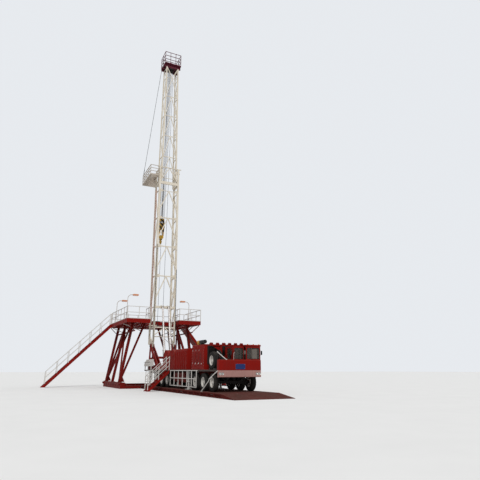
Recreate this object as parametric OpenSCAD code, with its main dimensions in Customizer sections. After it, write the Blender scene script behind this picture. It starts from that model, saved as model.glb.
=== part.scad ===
// Truck-mounted workover rig with a two-section telescoping mast, standing over the well.
// Sizes are in millimetres: X runs forward along the truck, Y to its left, Z up.
// The origin is the well centre at ground level. Height above the ground is given as "level".

/* [Truck] */
// Well centre to the truck's front panel
front_x = 18500; // [18200:50:19200]
// Well centre to the rear end of the truck frame
tail_x = 2150; // [2000:50:2300]
// Width over the deck and tyres
truck_w = 2900; // [2800:50:3000]
// Level of the deck's walking surface
deck_z = 1550; // [1500:10:1600]
// Depth of the deck's edge channel
deck_h = 100; // [80:5:120]
// Height of the frame rails
rail_h = 300; // [250:10:330]
// Inside width between the frame rails
rail_gap = 900; // [860:10:940]
// Flange width of a frame rail
rail_flange = 80; // [60:5:90]
// Plate thickness of frame rails and cross members
rail_t = 14; // [8:1:20]

/* [Wheels] */
// Outer radius of a tyre
tyre_r = 550; // [530:5:560]
// Section width of a tyre
tyre_w = 310; // [280:10:320]
// Radius of the rim's edge
rim_r = 285; // [260:5:300]
// Gap between the tyre and the mat while the rig stands on its jacks
tyre_lift = 5; // [5:1:30]
// Distance from the front panel back to the first axle
front_overhang = 1070; // [1020:10:1150]
// Spacing of the three front axles
front_pitch = 1450; // [1440:5:1480]
// Distance from the front panel back to the first rear axle
rear_set = 9890; // [9800:10:10000]
// Spacing of the three rear axles
rear_pitch = 1370; // [1340:5:1400]
// Gap between the two tyres of a twin wheel
twin_gap = 40; // [20:5:50]
// Distance of a tyre's outer wall inside the truck's side
tyre_inset = 20; // [10:5:30]
// Radius of a wheel hub
hub_r = 120; // [100:5:140]
// Radius of a wheel spindle
spindle_r = 48; // [40:2:60]
// Clearance round spindles, pins, shafts and slides
fit_gap = 0.3; // [0.2:0.1:1]

/* [Base] */
// Thickness of the steel mat under the truck
mat_h = 245; // [200:5:280]
// Width of the mat
mat_w = 3800; // [3600:50:4000]
// Length of the mat ahead of the front panel
mat_ahead = 1400; // [1200:50:1600]
// Length of the ramp in front of the mat
ramp_l = 1750; // [1500:50:2000]
// Rear end of the mat from the well centre
mat_rear_x = 2900; // [2850:50:2950]

/* [Substructure] */
// Level of the drill floor
floor_z = 5950; // [5800:50:6100]
// Depth of the floor's edge beams
fascia_h = 350; // [300:10:400]
// Width of the floor
floor_w = 7100; // [6900:50:7300]
// Rear edge of the floor from the well centre
floor_rear = 4400; // [4300:50:4500]
// Front edge of the floor behind the mast
floor_front = 750; // [700:10:800]
// Front edge of the two wings beside the mast from the well centre
wing_x = 2900; // [2700:50:3000]
// Thickness of the floor plate
plate_t = 20; // [10:2:30]
// Width of the floor stair
stair_w = 840; // [760:20:880]
// Width of the pipe slide
slide_w = 1300; // [1000:50:1500]
// Half width of the opening between the wings for the mast
notch_half = 1380; // [1350:10:1450]
// Centre of a ground skid from the truck's centre plane
skid_y = 3500; // [3400:50:3600]
// Width of a ground skid
skid_w = 400; // [350:10:450]
// Height of a ground skid
skid_h = 500; // [450:10:550]
// Width of a substructure leg
leg_w = 220; // [180:10:260]
// Height of the guard rails on the floor
rail_up = 1100; // [1000:50:1200]
// Width of a guard rail bar
bar_w = 50; // [40:5:60]

/* [Deck stair] */
// Distance from the front panel back to the middle of the deck stair
deck_stair_back = 9700; // [9500:50:9800]
// Width of the deck stair
deck_stair_w = 800; // [700:20:900]
// Run of the deck stair from the truck's side
deck_stair_run = 1750; // [1600:50:1900]

/* [Mast] */
// Mast pivot from the well centre
pivot_x = 2550; // [2500:10:2600]
// Level of the mast pivot
pivot_z = 3600; // [3550:10:3650]
// Lean of the raised mast towards the well, in degrees
lean = 3.2; // [3:0.1:3.5]
// Distance of the mast's truck side in front of the pivot
near_x = 350; // [340:5:380]
// Width of the lower section
low_w = 2120; // [2100:10:2140]
// Depth of the lower section
low_d = 1450; // [1440:10:1500]
// Side of a lower chord
low_c = 150; // [140:5:155]
// Top of the lower section along the mast
low_top = 18080; // [18060:5:18100]
// Height of the thick beam of the lower section along the mast
beam_z = 3500; // [3450:10:3550]
// Height of a bay of the lower section
low_bay = 2990; // [2900:10:3000]
// Distance of the second thick beam below the lower section's top
thick_down = 1880; // [1830:50:2180]
// Width of the upper section at its foot
up_w = 1750; // [1740:10:1770]
// Width of the upper section at the crown
top_w = 1450; // [1400:10:1500]
// Depth of the upper section
up_d = 1120; // [1100:5:1125]
// Height of a bay of the upper section
up_bay = 2550; // [2500:10:2580]
// Height of the bay under the crown
top_bay = 1450; // [1400:10:1500]
// Side of an upper chord
up_c = 120; // [100:5:130]
// Foot of the extended upper section along the mast
up_foot = 16300; // [16200:10:16400]
// Underside of the crown along the mast
crown_z = 31150; // [31100:10:31250]
// Height of the crown's rails over its deck
crown_rail = 1540; // [1440:10:1640]
// Width of a lower bracing bar
low_web = 90; // [70:5:110]
// Width of an upper bracing bar
up_web = 70; // [60:5:90]

/* [Drawworks and hood] */
// Drum shaft from the well centre
drum_x = 8000; // [7950:10:8050]
// Level of the drum shaft
drum_z = 2300; // [2280:10:2310]
// Radius of the drum covers
cover_r = 745; // [720:5:750]
// Spacing of the two drum covers
cover_pitch = 1490; // [1450:10:1520]
// Distance from the front panel back to the rear end of the engine hood
hood_back = 4700; // [4650:10:4750]
// Length of the engine hood
hood_l = 2180; // [2100:10:2200]
// Half width of the engine hood
hood_half = 1390; // [1350:10:1400]
// Level of the engine hood's top
hood_top = 3150; // [3100:10:3180]
// Half width of the radiator
rad_half = 1150; // [1100:10:1200]
// Level of the radiator's lower edge
rad_z0 = 1900; // [1850:10:1950]
// Level of the radiator's upper edge
rad_z1 = 3060; // [3000:10:3070]

/* [Cylinders] */
// Foot pin of the raising cylinders from the well centre
cyl_x = 4500; // [4450:10:4550]
// Level of the foot pin of the raising cylinders
cyl_z = 1250; // [1240:5:1280]
// Half distance between the two raising cylinders
cyl_y = 290; // [280:5:300]
// Lug pin in front of the mast's truck side
lug_out = 200; // [190:5:220]
// Radius of a cylinder barrel
barrel_r = 130; // [120:2:135]
// Radius of the first stage
stage_r = 105; // [100:1:108]
// Radius of the rod
rod_r = 78; // [70:1:80]
// Length of a barrel from its foot pin
barrel_l = 2050; // [2030:5:2055]
// Total stroke of the two stages
stroke = 3713; // [3700:1:3720]

/* [Hidden] */
$fn = 48;

half_w = truck_w / 2;
hub_z = mat_h + tyre_lift + tyre_r;
frame_z1 = deck_z - deck_h;
frame_z0 = frame_z1 - rail_h;
rail_in = rail_gap / 2;
rail_out = rail_in + rail_flange;
wheel_out = half_w - tyre_inset;
single_y = wheel_out - tyre_w / 2;
twin_y = wheel_out - tyre_w - twin_gap / 2;
kingpin_y = wheel_out - tyre_w - 90;
axle_front = [for (i = [0:2]) front_x - front_overhang - i * front_pitch];
axle_rear = [for (i = [0:2]) front_x - rear_set - i * rear_pitch];
mat_front_x = front_x + mat_ahead;
floor_half = floor_w / 2;
floor_under = floor_z - fascia_h;
far_x = near_x - low_d;
up_near = near_x - (low_d - up_d) / 2;
up_far = up_near - up_d;
lug_x = near_x + lug_out;
low_bays = 4;
up_bays = 5;
drum_covers = [drum_x, drum_x + cover_pitch];
sheave_x = -790;
sheave_z = crown_z + 350;
board_z = low_top - 1120;
thick_z = low_top - thick_down;
hood_x = front_x - hood_back;
deck_stair_x = front_x - deck_stair_back;
board_y = -low_w / 2 - 60;
board_hinges = [far_x + low_c / 2, near_x - low_c / 2];
door_hinge_x = front_x - 350;
door_hinge_y = half_w + 20;
door_hinges = [1850, 2650];

// A box between two corners
module box(x0, x1, y0, y1, z0, z1) {
    translate([x0, y0, z0])
        cube([x1 - x0, y1 - y0, z1 - z0]);
}

// The children and their mirror image on the truck's other side
module both() {
    children();
    mirror([0, 1, 0])
        children();
}

// A square bar from point p to point q
module bar(p, q, w) {
    d = q - p;
    translate(p)
        rotate([0, acos(d[2] / norm(d)), atan2(d[1], d[0])])
            translate([-w / 2, -w / 2, 0])
                cube([w, w, norm(d)]);
}

// A round bar from point p to point q
module rod(p, q, r) {
    d = q - p;
    translate(p)
        rotate([0, acos(d[2] / norm(d)), atan2(d[1], d[0])])
            cylinder(r = r, h = norm(d));
}

// A cylinder along Y, centred on y
module y_cyl(x, y, z, r, l) {
    translate([x, y + l / 2, z])
        rotate([90, 0, 0])
            cylinder(r = r, h = l);
}

// An outline in X and Z made t thick about y
module plate_xz(y, t) {
    translate([0, y + t / 2, 0])
        rotate([90, 0, 0])
            linear_extrude(t)
                children();
}

// An outline in Y and Z made t thick forward of x
module plate_yz(x, t) {
    translate([x, 0, 0])
        rotate([90, 0, 90])
            linear_extrude(t)
                children();
}

// A rail panel as an outline: posts and rails of width b round cols by rows open fields
module rail_outline(w, h, cols, rows, b) {
    cw = (w - b) / cols;
    rh = (h - b) / rows;
    difference() {
        square([w, h]);
        for (i = [0:cols - 1])
            for (j = [0:rows - 1])
                translate([b + i * cw, b + j * rh])
                    square([cw - b, rh - b]);
    }
}

// Moves each side of a convex outline inwards by d
function inset(pts, d) = let (n = len(pts)) [for (i = [0:n - 1])
    let (a = pts[(i + n - 1) % n], b = pts[i], c = pts[(i + 1) % n],
         u = (b - a) / norm(b - a), v = (c - b) / norm(c - b),
         s = u[0] * v[1] - u[1] * v[0])
    b + (v - u) * (d / s)];

// The outline's own points of a bar of width b from p to q
function bar_2d(p, q, b) = let (u = (q - p) / norm(q - p), n = [-u[1], u[0]] * b / 2)
    [p + n, p - n, q - n, q + n];

// The children and their mirror image left of the middle of an outline
module both_2d() {
    children();
    mirror([1, 0])
        children();
}

// A braced face centred on Y, w0 wide at its foot and w1 at its head, with an inverted V in each of
// n bays; the V stands on the sides at the part k of its bay's height
module vee_face(w0, w1, h, n, b, k) {
    p = h / n;
    difference() {
        polygon([[-w0 / 2, 0], [w0 / 2, 0], [w1 / 2, h], [-w1 / 2, h]]);
        for (i = [0:n - 1]) {
            z = i * p;
            a = (w0 + (w1 - w0) * i / n) / 2;
            c = (w0 + (w1 - w0) * (i + 1) / n) / 2;
            m = a + (c - a) * k;
            low = k == 0 ? [[-a, z], [a, z], [0, z + p]]
                : [[-a, z], [a, z], [m, z + k * p], [0, z + p], [-m, z + k * p]];
            polygon(inset(low, b / 2));
            for (side = [-1, 1])
                polygon(inset(side < 0 ? [[-m, z + k * p], [0, z + p], [-c, z + p]]
                    : [[m, z + k * p], [c, z + p], [0, z + p]], b / 2));
        }
    }
}

// A braced face as an outline, with one diagonal in each of n bays
module zig_face(w, h, n, b) {
    p = h / n;
    difference() {
        square([w, h]);
        for (i = [0:n - 1]) {
            near = i % 2 == 0 ? 0 : w;
            far = w - near;
            flip = near == 0 ? 1 : -1;
            low = [[near, i * p], [far, i * p], [far, (i + 1) * p]];
            high = [[near, i * p], [far, (i + 1) * p], [near, (i + 1) * p]];
            polygon(inset(flip == 1 ? low : [low[2], low[1], low[0]], b / 2));
            polygon(inset(flip == 1 ? high : [high[2], high[1], high[0]], b / 2));
        }
    }
}

// Places children given along the mast: x forward, z from the pivot up the mast
module on_mast() {
    translate([pivot_x, 0, pivot_z])
        rotate([0, -lean, 0])
            children();
}

// A rectangle with round corners of radius r
module soft_rect(w, h, r) {
    translate([r, 0])
        square([w - 2 * r, h]);
    translate([0, r])
        square([w, h - 2 * r]);
    for (x = [r, w - r])
        for (y = [r, h - r])
            translate([x, y])
                circle(r = r);
}

// Pockets cut from below between joists of width b, nx by ny of them
module pockets(x0, x1, y0, y1, nx, ny, b) {
    w = (x1 - x0 - b) / nx;
    l = (y1 - y0 - b) / ny;
    for (i = [0:nx - 1])
        for (j = [0:ny - 1])
            translate([x0 + b + i * w, y0 + b + j * l, floor_under - 1])
                cube([w - b, l - b, fascia_h - plate_t + 1]);
}

module base_mat() color("#6b2a26") {
    half = mat_w / 2;
    bays = 16;
    bay = (mat_front_x - mat_rear_x) / bays;
    difference() {
        plate_xz(0, mat_w)
            polygon([[mat_rear_x, 0], [mat_front_x + ramp_l, 0], [mat_front_x + ramp_l, 20],
                     [mat_front_x, mat_h], [mat_rear_x, mat_h]]);
        both() for (i = [0:bays - 1])
            box(mat_rear_x + i * bay + 80, mat_rear_x + (i + 1) * bay - 80,
                half - 60, half + 1, 50, mat_h - 50);
        for (i = [1:2])
            box(mat_rear_x + i * 5.4 * bay, mat_rear_x + i * 5.4 * bay + 20, -half - 1, half + 1,
                mat_h - 15, mat_h + 1);
    }
}

module substructure() color("#8c2f28") {
    rear = -floor_rear;
    foot_y = skid_y;
    top_y = floor_half - 900;
    frames = [1500, -1300, rear + leg_w];
    both() difference() {
        box(rear, mat_rear_x, skid_y - skid_w / 2, skid_y + skid_w / 2, 0, skid_h);
        for (x = [rear + 500:1000:mat_rear_x - 300])
            y_cyl(x, skid_y, skid_h / 2, 90, skid_w + 2);
    }
    both() for (x = [rear + 120, mat_rear_x - 120])
        y_cyl(x, skid_y, skid_h - 130, 84, skid_w + 240);
    for (x = [mat_rear_x - 400, rear])
        box(x, x + 400, -skid_y, skid_y, 0, mat_h);
    difference() {
        for (x = frames)
            both() bar([x, foot_y, skid_h - 60], [x, top_y, floor_under + 60], leg_w);
        box(-floor_rear - 500, wing_x, -floor_half, floor_half, floor_under, floor_z + 100);
    }
    for (x = frames) {
        both() box(x - 200, x + 200, skid_y - skid_w / 2, skid_y + skid_w / 2, skid_h, skid_h + 30);
    }
    for (x = [frames[0], frames[2]]) {
        both() difference() {
            bar([x, foot_y, skid_h - 60], [x, notch_half + 150, floor_under + 60], 160);
            box(x - 200, x + 200, 0, floor_half, floor_under, floor_z + 100);
        }
        both() plate_yz(x - 15, 30)
            polygon([[foot_y - 480, skid_h + 30], [foot_y + 100, skid_h + 30], [foot_y - 60, skid_h + 620],
                     [foot_y - 190, skid_h + 620]]);
    }
    both() {
        difference() {
            for (x = [frames[0], frames[2]])
                bar([x, foot_y, skid_h], [frames[1], top_y, floor_under], 140);
            box(frames[1] - 500, frames[1] + 500, 0, floor_half, floor_under, floor_z);
        }
        for (x = [wing_x - 200, 900, rear + 300])
            rod([x, floor_half - 80, floor_under - 32], [x, top_y + 100, floor_under - 700], 32);
        bar([wing_x - 100, top_y + 100, floor_under - 700],
            [rear + 100, top_y + 100, floor_under - 700], 100);
    }
}

module floor_frame() color("#9c2b26") {
    core = 700;
    difference() {
        union() {
            box(-floor_rear, floor_front, -floor_half, floor_half, floor_under, floor_z);
            both() box(floor_front - 1, wing_x, notch_half, floor_half, floor_under, floor_z);
        }
        pockets(-floor_rear, -core, -floor_half, floor_half, 4, 8, 110);
        pockets(-core - 110, floor_front, -floor_half, -core, 2, 3, 110);
        pockets(-core - 110, floor_front, core, floor_half, 2, 3, 110);
        pockets(floor_front - 110, wing_x, -floor_half, -notch_half, 3, 2, 110);
        pockets(floor_front - 110, wing_x, notch_half, floor_half, 3, 2, 110);
        translate([0, 0, floor_under - 1])
            cylinder(r = 300, h = fascia_h + 2);
        translate([0, 0, floor_under + 60])
            cylinder(r = 400, h = fascia_h + 2);
    }
}

module rotary_table() color("#3c3a38")
    translate([0, 0, floor_under + 60 + fit_gap])
        difference() {
            cylinder(r = 390, h = fascia_h + 20);
            translate([0, 0, -1])
                cylinder(r = 222, h = fascia_h + 22);
        }

module floor_rails() color("#d8d6d0") {
    e = floor_half - bar_w;
    stair_x = -floor_rear + stair_w;
    slide_x = -1850;
    side = [[-1, stair_x, wing_x, 5], [1, -floor_rear, slide_x - slide_w, 1], [1, slide_x, wing_x, 4]];
    translate([0, 0, floor_z]) {
        for (r = side)
            plate_xz(r[0] * (e + bar_w / 2), bar_w)
                translate([r[1], 0])
                    rail_outline(r[2] - r[1], rail_up, r[3], 2, bar_w);
        plate_yz(-floor_rear, bar_w)
            translate([-e, 0])
                rail_outline(2 * e, rail_up, 5, 2, bar_w);
        both() plate_yz(wing_x - bar_w, bar_w)
            translate([notch_half, 0])
                rail_outline(floor_half - notch_half, rail_up, 2, 2, bar_w);
        both() plate_xz(notch_half + bar_w / 2, bar_w)
            translate([floor_front + 600, 0])
                rail_outline(wing_x - floor_front - 600, rail_up, 2, 2, bar_w);
    }
}

module floor_stair() color("#a33028") {
    steps = 24;
    rise = floor_z / steps;
    x0 = -floor_rear;
    for (x = [x0, x0 + stair_w - 40])
        plate_yz(x, 40)
            polygon([[-floor_half, floor_z - 350], [-floor_half, floor_z], [-floor_half - floor_z, 0],
                     [-floor_half - floor_z + 350, 0]]);
    for (i = [1:steps - 1])
        box(x0 + 20, x0 + stair_w - 20, -floor_half - i * rise - 120, -floor_half - i * rise + 120,
            floor_z - i * rise - 165, floor_z - i * rise - 130);
}

// A stair's handrail in Y and Z: n bars below each other from the top (y0, z0) outwards and down
module hand_rail(y0, z0, run, drop, h, n, posts, b) {
    gap = (h - b) / n;
    difference() {
        polygon([[y0, z0], [y0, z0 + h], [y0 - run, z0 + h - drop], [y0 - run, z0 - drop]]);
        for (i = [0:posts - 1])
            for (k = [0:n - 1]) {
                ya = y0 - b - i * (run - b) / posts;
                yb = y0 - (i + 1) * (run - b) / posts;
                za = z0 + k * gap - (y0 - ya) * drop / run;
                zb = z0 + k * gap - (y0 - yb) * drop / run;
                lo = k == 0 ? -b : b;
                polygon([[ya, za + lo], [ya, za + gap], [yb, zb + gap], [yb, zb + lo]]);
            }
    }
}

module stair_rails() color("#e8e4de") {
    x0 = -floor_rear;
    b = 45;
    for (x = [x0 + stair_w - b, x0])
        plate_yz(x, b)
            hand_rail(-floor_half, floor_z, floor_z - 300, floor_z - 300, rail_up, 2, 6, b);
    for (x = [deck_stair_x - deck_stair_w / 2, deck_stair_x + deck_stair_w / 2 - b])
        plate_yz(x, b)
            hand_rail(-half_w, deck_z, deck_stair_run - 100,
                      (deck_stair_run - 100) * deck_z / deck_stair_run, 1000, 3, 2, b);
}

module pipe_slide() color("#a33028") {
    run = 5000;
    wall = 240;
    x1 = -1850 - 5;
    x0 = x1 - slide_w + 10;
    t = 30;
    y0 = floor_half;
    slab = [[y0, floor_z - 150], [y0, floor_z - 20], [y0 + run, 20], [y0 + run, 0], [y0 + run - 110, 0]];
    plate_yz(x0, x1 - x0)
        polygon(slab);
    for (x = [x0, x1 - t])
        plate_yz(x, t)
            polygon([[y0, floor_z - 150], [y0, floor_z + wall], [y0 + run, wall], [y0 + run, 0],
                     [y0 + run - 110, 0]]);
    for (f = [0.2, 0.4, 0.6, 0.8])
        box(x0 - 40, x1 + 40, y0 + f * run - 60, y0 + f * run + 60,
            (floor_z - 150) * (1 - f) - 90, (floor_z - 150) * (1 - f) + 60);
}

module floor_lamps() color("#e8b090") {
    bend = 350;
    h = 1850;
    spots = [[-2200, -1], [2200, -1], [-200, 1]];
    for (s = spots)
        translate([s[0], s[1] * (floor_half - 110), floor_z])
            mirror([0, s[1] > 0 ? 1 : 0, 0]) {
                cylinder(r = 50, h = 20);
                cylinder(r = 28, h = h);
                translate([0, bend, h])
                    rotate([90, 0, -90])
                        rotate_extrude(angle = 90)
                            translate([bend, 0])
                                circle(r = 28);
                y_cyl(0, bend + 60, h + bend, 28, 121);
                translate([-110, bend + 100, h + bend - 75])
                    rotate([90, 0, 90])
                        linear_extrude(220)
                            soft_rect(520, 150, 60);
            }
}

module chassis_frame() color("#7c2622") {
    members = [tail_x, tail_x + 1550, front_x - 10600, front_x - 9250, front_x - 7300,
               front_x - 5250, front_x - 3250, front_x - 1800, front_x - 330];
    both() difference() {
        box(tail_x, front_x - 180, rail_in, rail_out, frame_z0, frame_z1);
        box(tail_x - 1, front_x, rail_in - 1, rail_out - rail_t, frame_z0 + rail_t, frame_z1 - rail_t);
    }
    for (x = members)
        difference() {
            box(x, x + 120, -rail_out + rail_t - 1, rail_out - rail_t + 1, frame_z0 + rail_t - 1,
                frame_z1 - rail_t + 1);
            box(x + rail_t, x + 121, -rail_in, rail_in, frame_z0 + 2 * rail_t, frame_z1 - 2 * rail_t);
        }
}

module axles() color("#2c2a2a") {
    for (x = [axle_front[0], axle_front[1]]) {
        y_eye = kingpin_y - 110;
        difference() {
            box(x - 60, x + 60, -y_eye, y_eye, hub_z - 80, hub_z + 80);
            for (side = [-1, 1])
                box(x + (side > 0 ? 25 : -61), x + (side > 0 ? 61 : -25), -y_eye + 90, y_eye - 90,
                    hub_z - 45, hub_z + 45);
        }
        both() {
            box(x - 42, x + 42, y_eye - 1, y_eye + 50, hub_z - 150, hub_z + 150);
            for (z = [-150, 90]) {
                translate([x, kingpin_y, hub_z + z])
                    cylinder(r = 60, h = 60);
                box(x - 42, x + 42, y_eye + 49, kingpin_y, hub_z + z, hub_z + z + 60);
            }
            springs(x);
        }
    }
    solid_axle(axle_front[2], single_y);
    for (x = axle_rear)
        solid_axle(x, twin_y);
    shafts = [[front_x - 5600, axle_front[2] - 260], [axle_rear[0] + 260, front_x - 8300],
              [axle_rear[1] + 260, axle_rear[0] - 260],
              [axle_rear[2] + 260, axle_rear[1] - 260]];
    for (s = shafts) {
        translate([min(s[0], s[1]), 0, hub_z + 60])
            rotate([0, 90, 0])
                cylinder(r = 45, h = abs(s[1] - s[0]));
        for (x = s)
            translate([x - 20, 0, hub_z + 60])
                rotate([0, 90, 0])
                    cylinder(r = 75, h = 40);
    }
}

// A leaf spring pack between axle and frame rail, with its hangers and clamp, on one side
module springs(x) {
    yc = (rail_in + rail_out) / 2;
    leaves = 5;
    z0 = hub_z + 80;
    h = (frame_z0 - z0 - 60) / leaves;
    for (i = [0:leaves - 1])
        box(x - 170 - i * 95, x + 170 + i * 95, yc - 45, yc + 45, z0 + i * h, z0 + (i + 1) * h);
    for (d = [-1, 1]) {
        box(x + d * 540 - 40, x + d * 540 + 40, yc - 30, yc + 30, frame_z0 - 90, frame_z0);
        box(x + d * 75 - 15, x + d * 75 + 15, yc - 55, yc + 55, z0 - 40, frame_z0 - 45);
    }
}

// A driven axle with its housing, spindles and springs
module solid_axle(x, y) {
    y_cyl(x, 0, hub_z, 110, 2 * (rail_out + 60));
    translate([x, 0, hub_z])
        sphere(r = 230);
    translate([x - 290, 0, hub_z + 60])
        rotate([0, 90, 0])
            cylinder(r = 90, h = 580);
    both() {
        y_cyl(x, (rail_out + wheel_out) / 2, hub_z, spindle_r, wheel_out - rail_out);
        y_cyl(x, rail_out + 70, hub_z, 160, 40);
        springs(x);
    }
}

module deck() color("#3a3836") {
    t = 12;
    edge = 60;
    bays = 11;
    x0 = tail_x;
    x1 = front_x - 1600;
    pitch = (x1 - x0 - edge) / bays;
    difference() {
        box(x0, x1, -half_w, half_w, frame_z1, deck_z);
        both() for (i = [0:bays - 1])
            box(x0 + edge + i * pitch, x0 + (i + 1) * pitch, rail_out + 20, half_w - edge,
                frame_z1 - 1, deck_z - t);
        for (i = [0:bays - 1])
            box(x0 + edge + i * pitch, x0 + (i + 1) * pitch, -rail_in, rail_in, frame_z1 - 1, deck_z - t);
        box(cyl_x - 300, cyl_x + 1000, -rail_in, rail_in, frame_z1 - 1, deck_z + 1);
    }
    box(x1 - 1, front_x - 250, -half_w, half_w, frame_z1, deck_z);
}

module jacks() color("#b9b4ab") {
    y = half_w - 225;
    foot = 420;
    for (x = [front_x - 5600, tail_x + 1200])
        both() {
            translate([x, y, 720])
                cylinder(r = 110, h = frame_z1 - 720);
            translate([x, y, 720])
                cylinder(r = 125, h = 60);
            translate([x, y, mat_h])
                cylinder(r = 72, h = 520);
            translate([x, y, mat_h + 50])
                cylinder(r1 = 150, r2 = 72, h = 70);
            translate([x - foot / 2, y - foot / 2, mat_h])
                linear_extrude(50)
                    soft_rect(foot, foot, 60);
            box(x - 140, x + 140, rail_out, y - 60, frame_z1 - 180, frame_z1);
        }
}

module tanks() color("#8c2a26")
    both() {
        plate_r = 120;
        translate([front_x - 8450, 780, 700])
            rotate([90, 0, 90])
                linear_extrude(2400)
                    soft_rect(620, frame_z1 - 760, plate_r);
        for (x = [front_x - 8150, front_x - 6500])
            difference() {
                box(x, x + 90, 760, 1420, 680, frame_z1);
                translate([x - 1, 780, 700])
                    rotate([90, 0, 90])
                        linear_extrude(92)
                            soft_rect(620, frame_z1 - 760, plate_r);
            }
    }

module guard_panels() color("#e6e2dc") {
    y = half_w + 60;
    bar = 50;
    panels = [[front_x - 8850, front_x - 3450, 430, 6], [tail_x + 750, tail_x + 2750, 560, 3]];
    both() for (p = panels) {
        plate_xz(y, 40)
            translate([p[0], p[2]])
                rail_outline(p[1] - p[0], deck_z - 30 - p[2], p[3], 2, bar);
        n = floor((p[1] - p[0]) / 1700);
        for (i = [0:n]) {
            x = p[0] + i * (p[1] - p[0] - 80) / n;
            box(x, x + 80, half_w, y + 20, deck_z - 90, deck_z - 30);
        }
    }
}

module deck_stair() color("#a33028") {
    x0 = deck_stair_x - deck_stair_w / 2;
    x1 = x0 + deck_stair_w;
    y0 = -half_w;
    steps = 6;
    for (x = [x0, x1 - 40])
        plate_yz(x, 40)
            polygon([[y0, deck_z - 240], [y0, deck_z], [y0 - deck_stair_run, 0],
                     [y0 - deck_stair_run * (1 - 240 / deck_z), 0]]);
    for (i = [1:steps - 1]) {
        z = deck_z * (1 - i / steps) - 118;
        yc = y0 - i * deck_stair_run / steps;
        box(x0 + 1, x1 - 1, yc - 125, yc + 125, z - 35, z);
    }
}

module bumper() color("#e0b8ac") {
    z0 = 1110;
    z1 = 1515;
    difference() {
        translate([0, half_w, 0])
            rotate([90, 0, 0])
                linear_extrude(truck_w)
                    translate([front_x - 180, z0])
                        soft_rect(180, z1 - z0, 40);
        box(front_x - 200, front_x - 30, -half_w + 30, half_w - 30, z0 - 1, z1 - 25);
        both() for (y = [1175, 1350])
            translate([front_x - 40, y, 1310])
                rotate([0, 90, 0])
                    cylinder(r = 84, h = 50);
    }
    both() {
        for (y = [1175, 1350])
            translate([front_x - 60, y, 1310])
                rotate([0, 90, 0])
                    difference() {
                        cylinder(r = 80, h = 62);
                        translate([0, 0, 52])
                            cylinder(r = 68, h = 20);
                    }
        box(front_x - 80, front_x - 29, 1100, 1425, 1295, 1325);
        box(front_x - 180, front_x - 29, rail_in, rail_out, frame_z0, frame_z1);
    }
}

module nose_panel() color("#b3221c") {
    z0 = 1515;
    z1 = 2130;
    r = 60;
    difference() {
        translate([0, half_w, 0])
            rotate([90, 0, 0])
                linear_extrude(truck_w)
                    union() {
                        translate([front_x - 250, z0])
                            square([250, z1 - z0 - r]);
                        translate([front_x - 250, z0])
                            square([250 - r, z1 - z0]);
                        translate([front_x - r, z1 - r])
                            circle(r = r);
                    }
        box(front_x - 251, front_x - 30, -half_w + 30, half_w - 30, z0 - 1, z1 - 30);
    }
    for (y = [-950, 0, 950])
        box(front_x - 60, front_x - 29, y - 30, y + 30, z0, z1 - 29);
}

module cab_shell() color("#b3221c") {
    t = 40;
    x0 = front_x - 1600;
    top = 2950;
    sill = 2190;
    head = 2840;
    mid = 430;
    inner = -300;
    difference() {
        union() {
            box(x0, front_x - 250, mid, half_w, deck_z, top);
            box(x0, front_x - 50, mid, half_w, 2130, top);
            box(x0, front_x - 350, inner, mid + 1, deck_z, top);
        }
        box(x0 + t, front_x - 250 - t, mid, half_w - t, deck_z + t, top - t);
        box(x0 + t, front_x - 50 - t, mid, half_w - t, 2130 + t, top - t);
        box(x0 + t, front_x - 350 - t, inner + t, mid + 1, deck_z + t, top - t);
        plate_yz(front_x - 100, 101)
            translate([mid + 70, sill])
                soft_rect(half_w - mid - 140, head - sill, 60);
        plate_yz(front_x - 400, 101)
            translate([inner + 70, sill])
                soft_rect(mid - inner - 120, head - sill, 60);
        plate_yz(x0 - 1, t + 2)
            translate([600, 2300])
                soft_rect(700, 450, 60);
        plate_xz(inner + t / 2, t + 2)
            translate([x0 + 300, sill])
                soft_rect(600, head - sill, 60);
        box(x0 + 250, front_x - 350, half_w - t - 1, half_w + 1, deck_z + 80, 2880);
    }
    translate([x0 - 50, mid - 50, top])
        linear_extrude(90)
            soft_rect(front_x + 30 - x0 + 20, half_w - mid + 80, 40);
    for (z = door_hinges) {
        translate([door_hinge_x, door_hinge_y, z - 60])
            cylinder(r = 10, h = 120);
        box(door_hinge_x, door_hinge_x + 40, half_w - 1, door_hinge_y + 8, z - 60, z - 40 - fit_gap);
    }
}

module cab_glass() color("#30383c") {
    x0 = front_x - 1600;
    plate_yz(front_x - 78, 8)
        translate([500, 2190])
            soft_rect(half_w - 430 - 140, 650, 60);
    plate_yz(front_x - 378, 8)
        translate([-230, 2190])
            soft_rect(610, 650, 60);
    plate_yz(x0 + 16, 8)
        translate([600, 2300])
            soft_rect(700, 450, 60);
    plate_xz(-280, 8)
        translate([x0 + 300, 2190])
            soft_rect(600, 650, 60);
}

module cab_interior() color("#2a2a2c") {
    x0 = front_x - 1600;
    floor = deck_z + 40;
    for (y = [720, -120])
        translate([x0 + 300, y, 0]) {
            box(60, 440, 40, 420, floor, floor + 200);
            translate([0, 0, floor + 200])
                linear_extrude(120)
                    soft_rect(520, 460, 80);
            translate([-20, 460, 0])
                rotate([90, 0, 0])
                    linear_extrude(460)
                        polygon([[0, floor + 260], [120, floor + 260],
                                 [20, floor + 900], [-100, floor + 900]]);
        }
    box(front_x - 560, front_x - 390, 440, half_w - 41, floor, 2110);
    box(front_x - 391, front_x - 290, 440, half_w - 41, 1800, 2110);
    translate([front_x - 560, 950, 2120])
        rotate([0, -55, 0]) {
            rotate_extrude()
                translate([200, 0])
                    circle(r = 16);
            cylinder(r = 45, h = 20, center = true);
            for (a = [0, 120, 240])
                rotate([0, 0, a])
                    translate([0, -12, -8])
                        cube([200, 24, 16]);
            translate([0, 0, -290])
                cylinder(r = 28, h = 290);
        }
}

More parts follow.
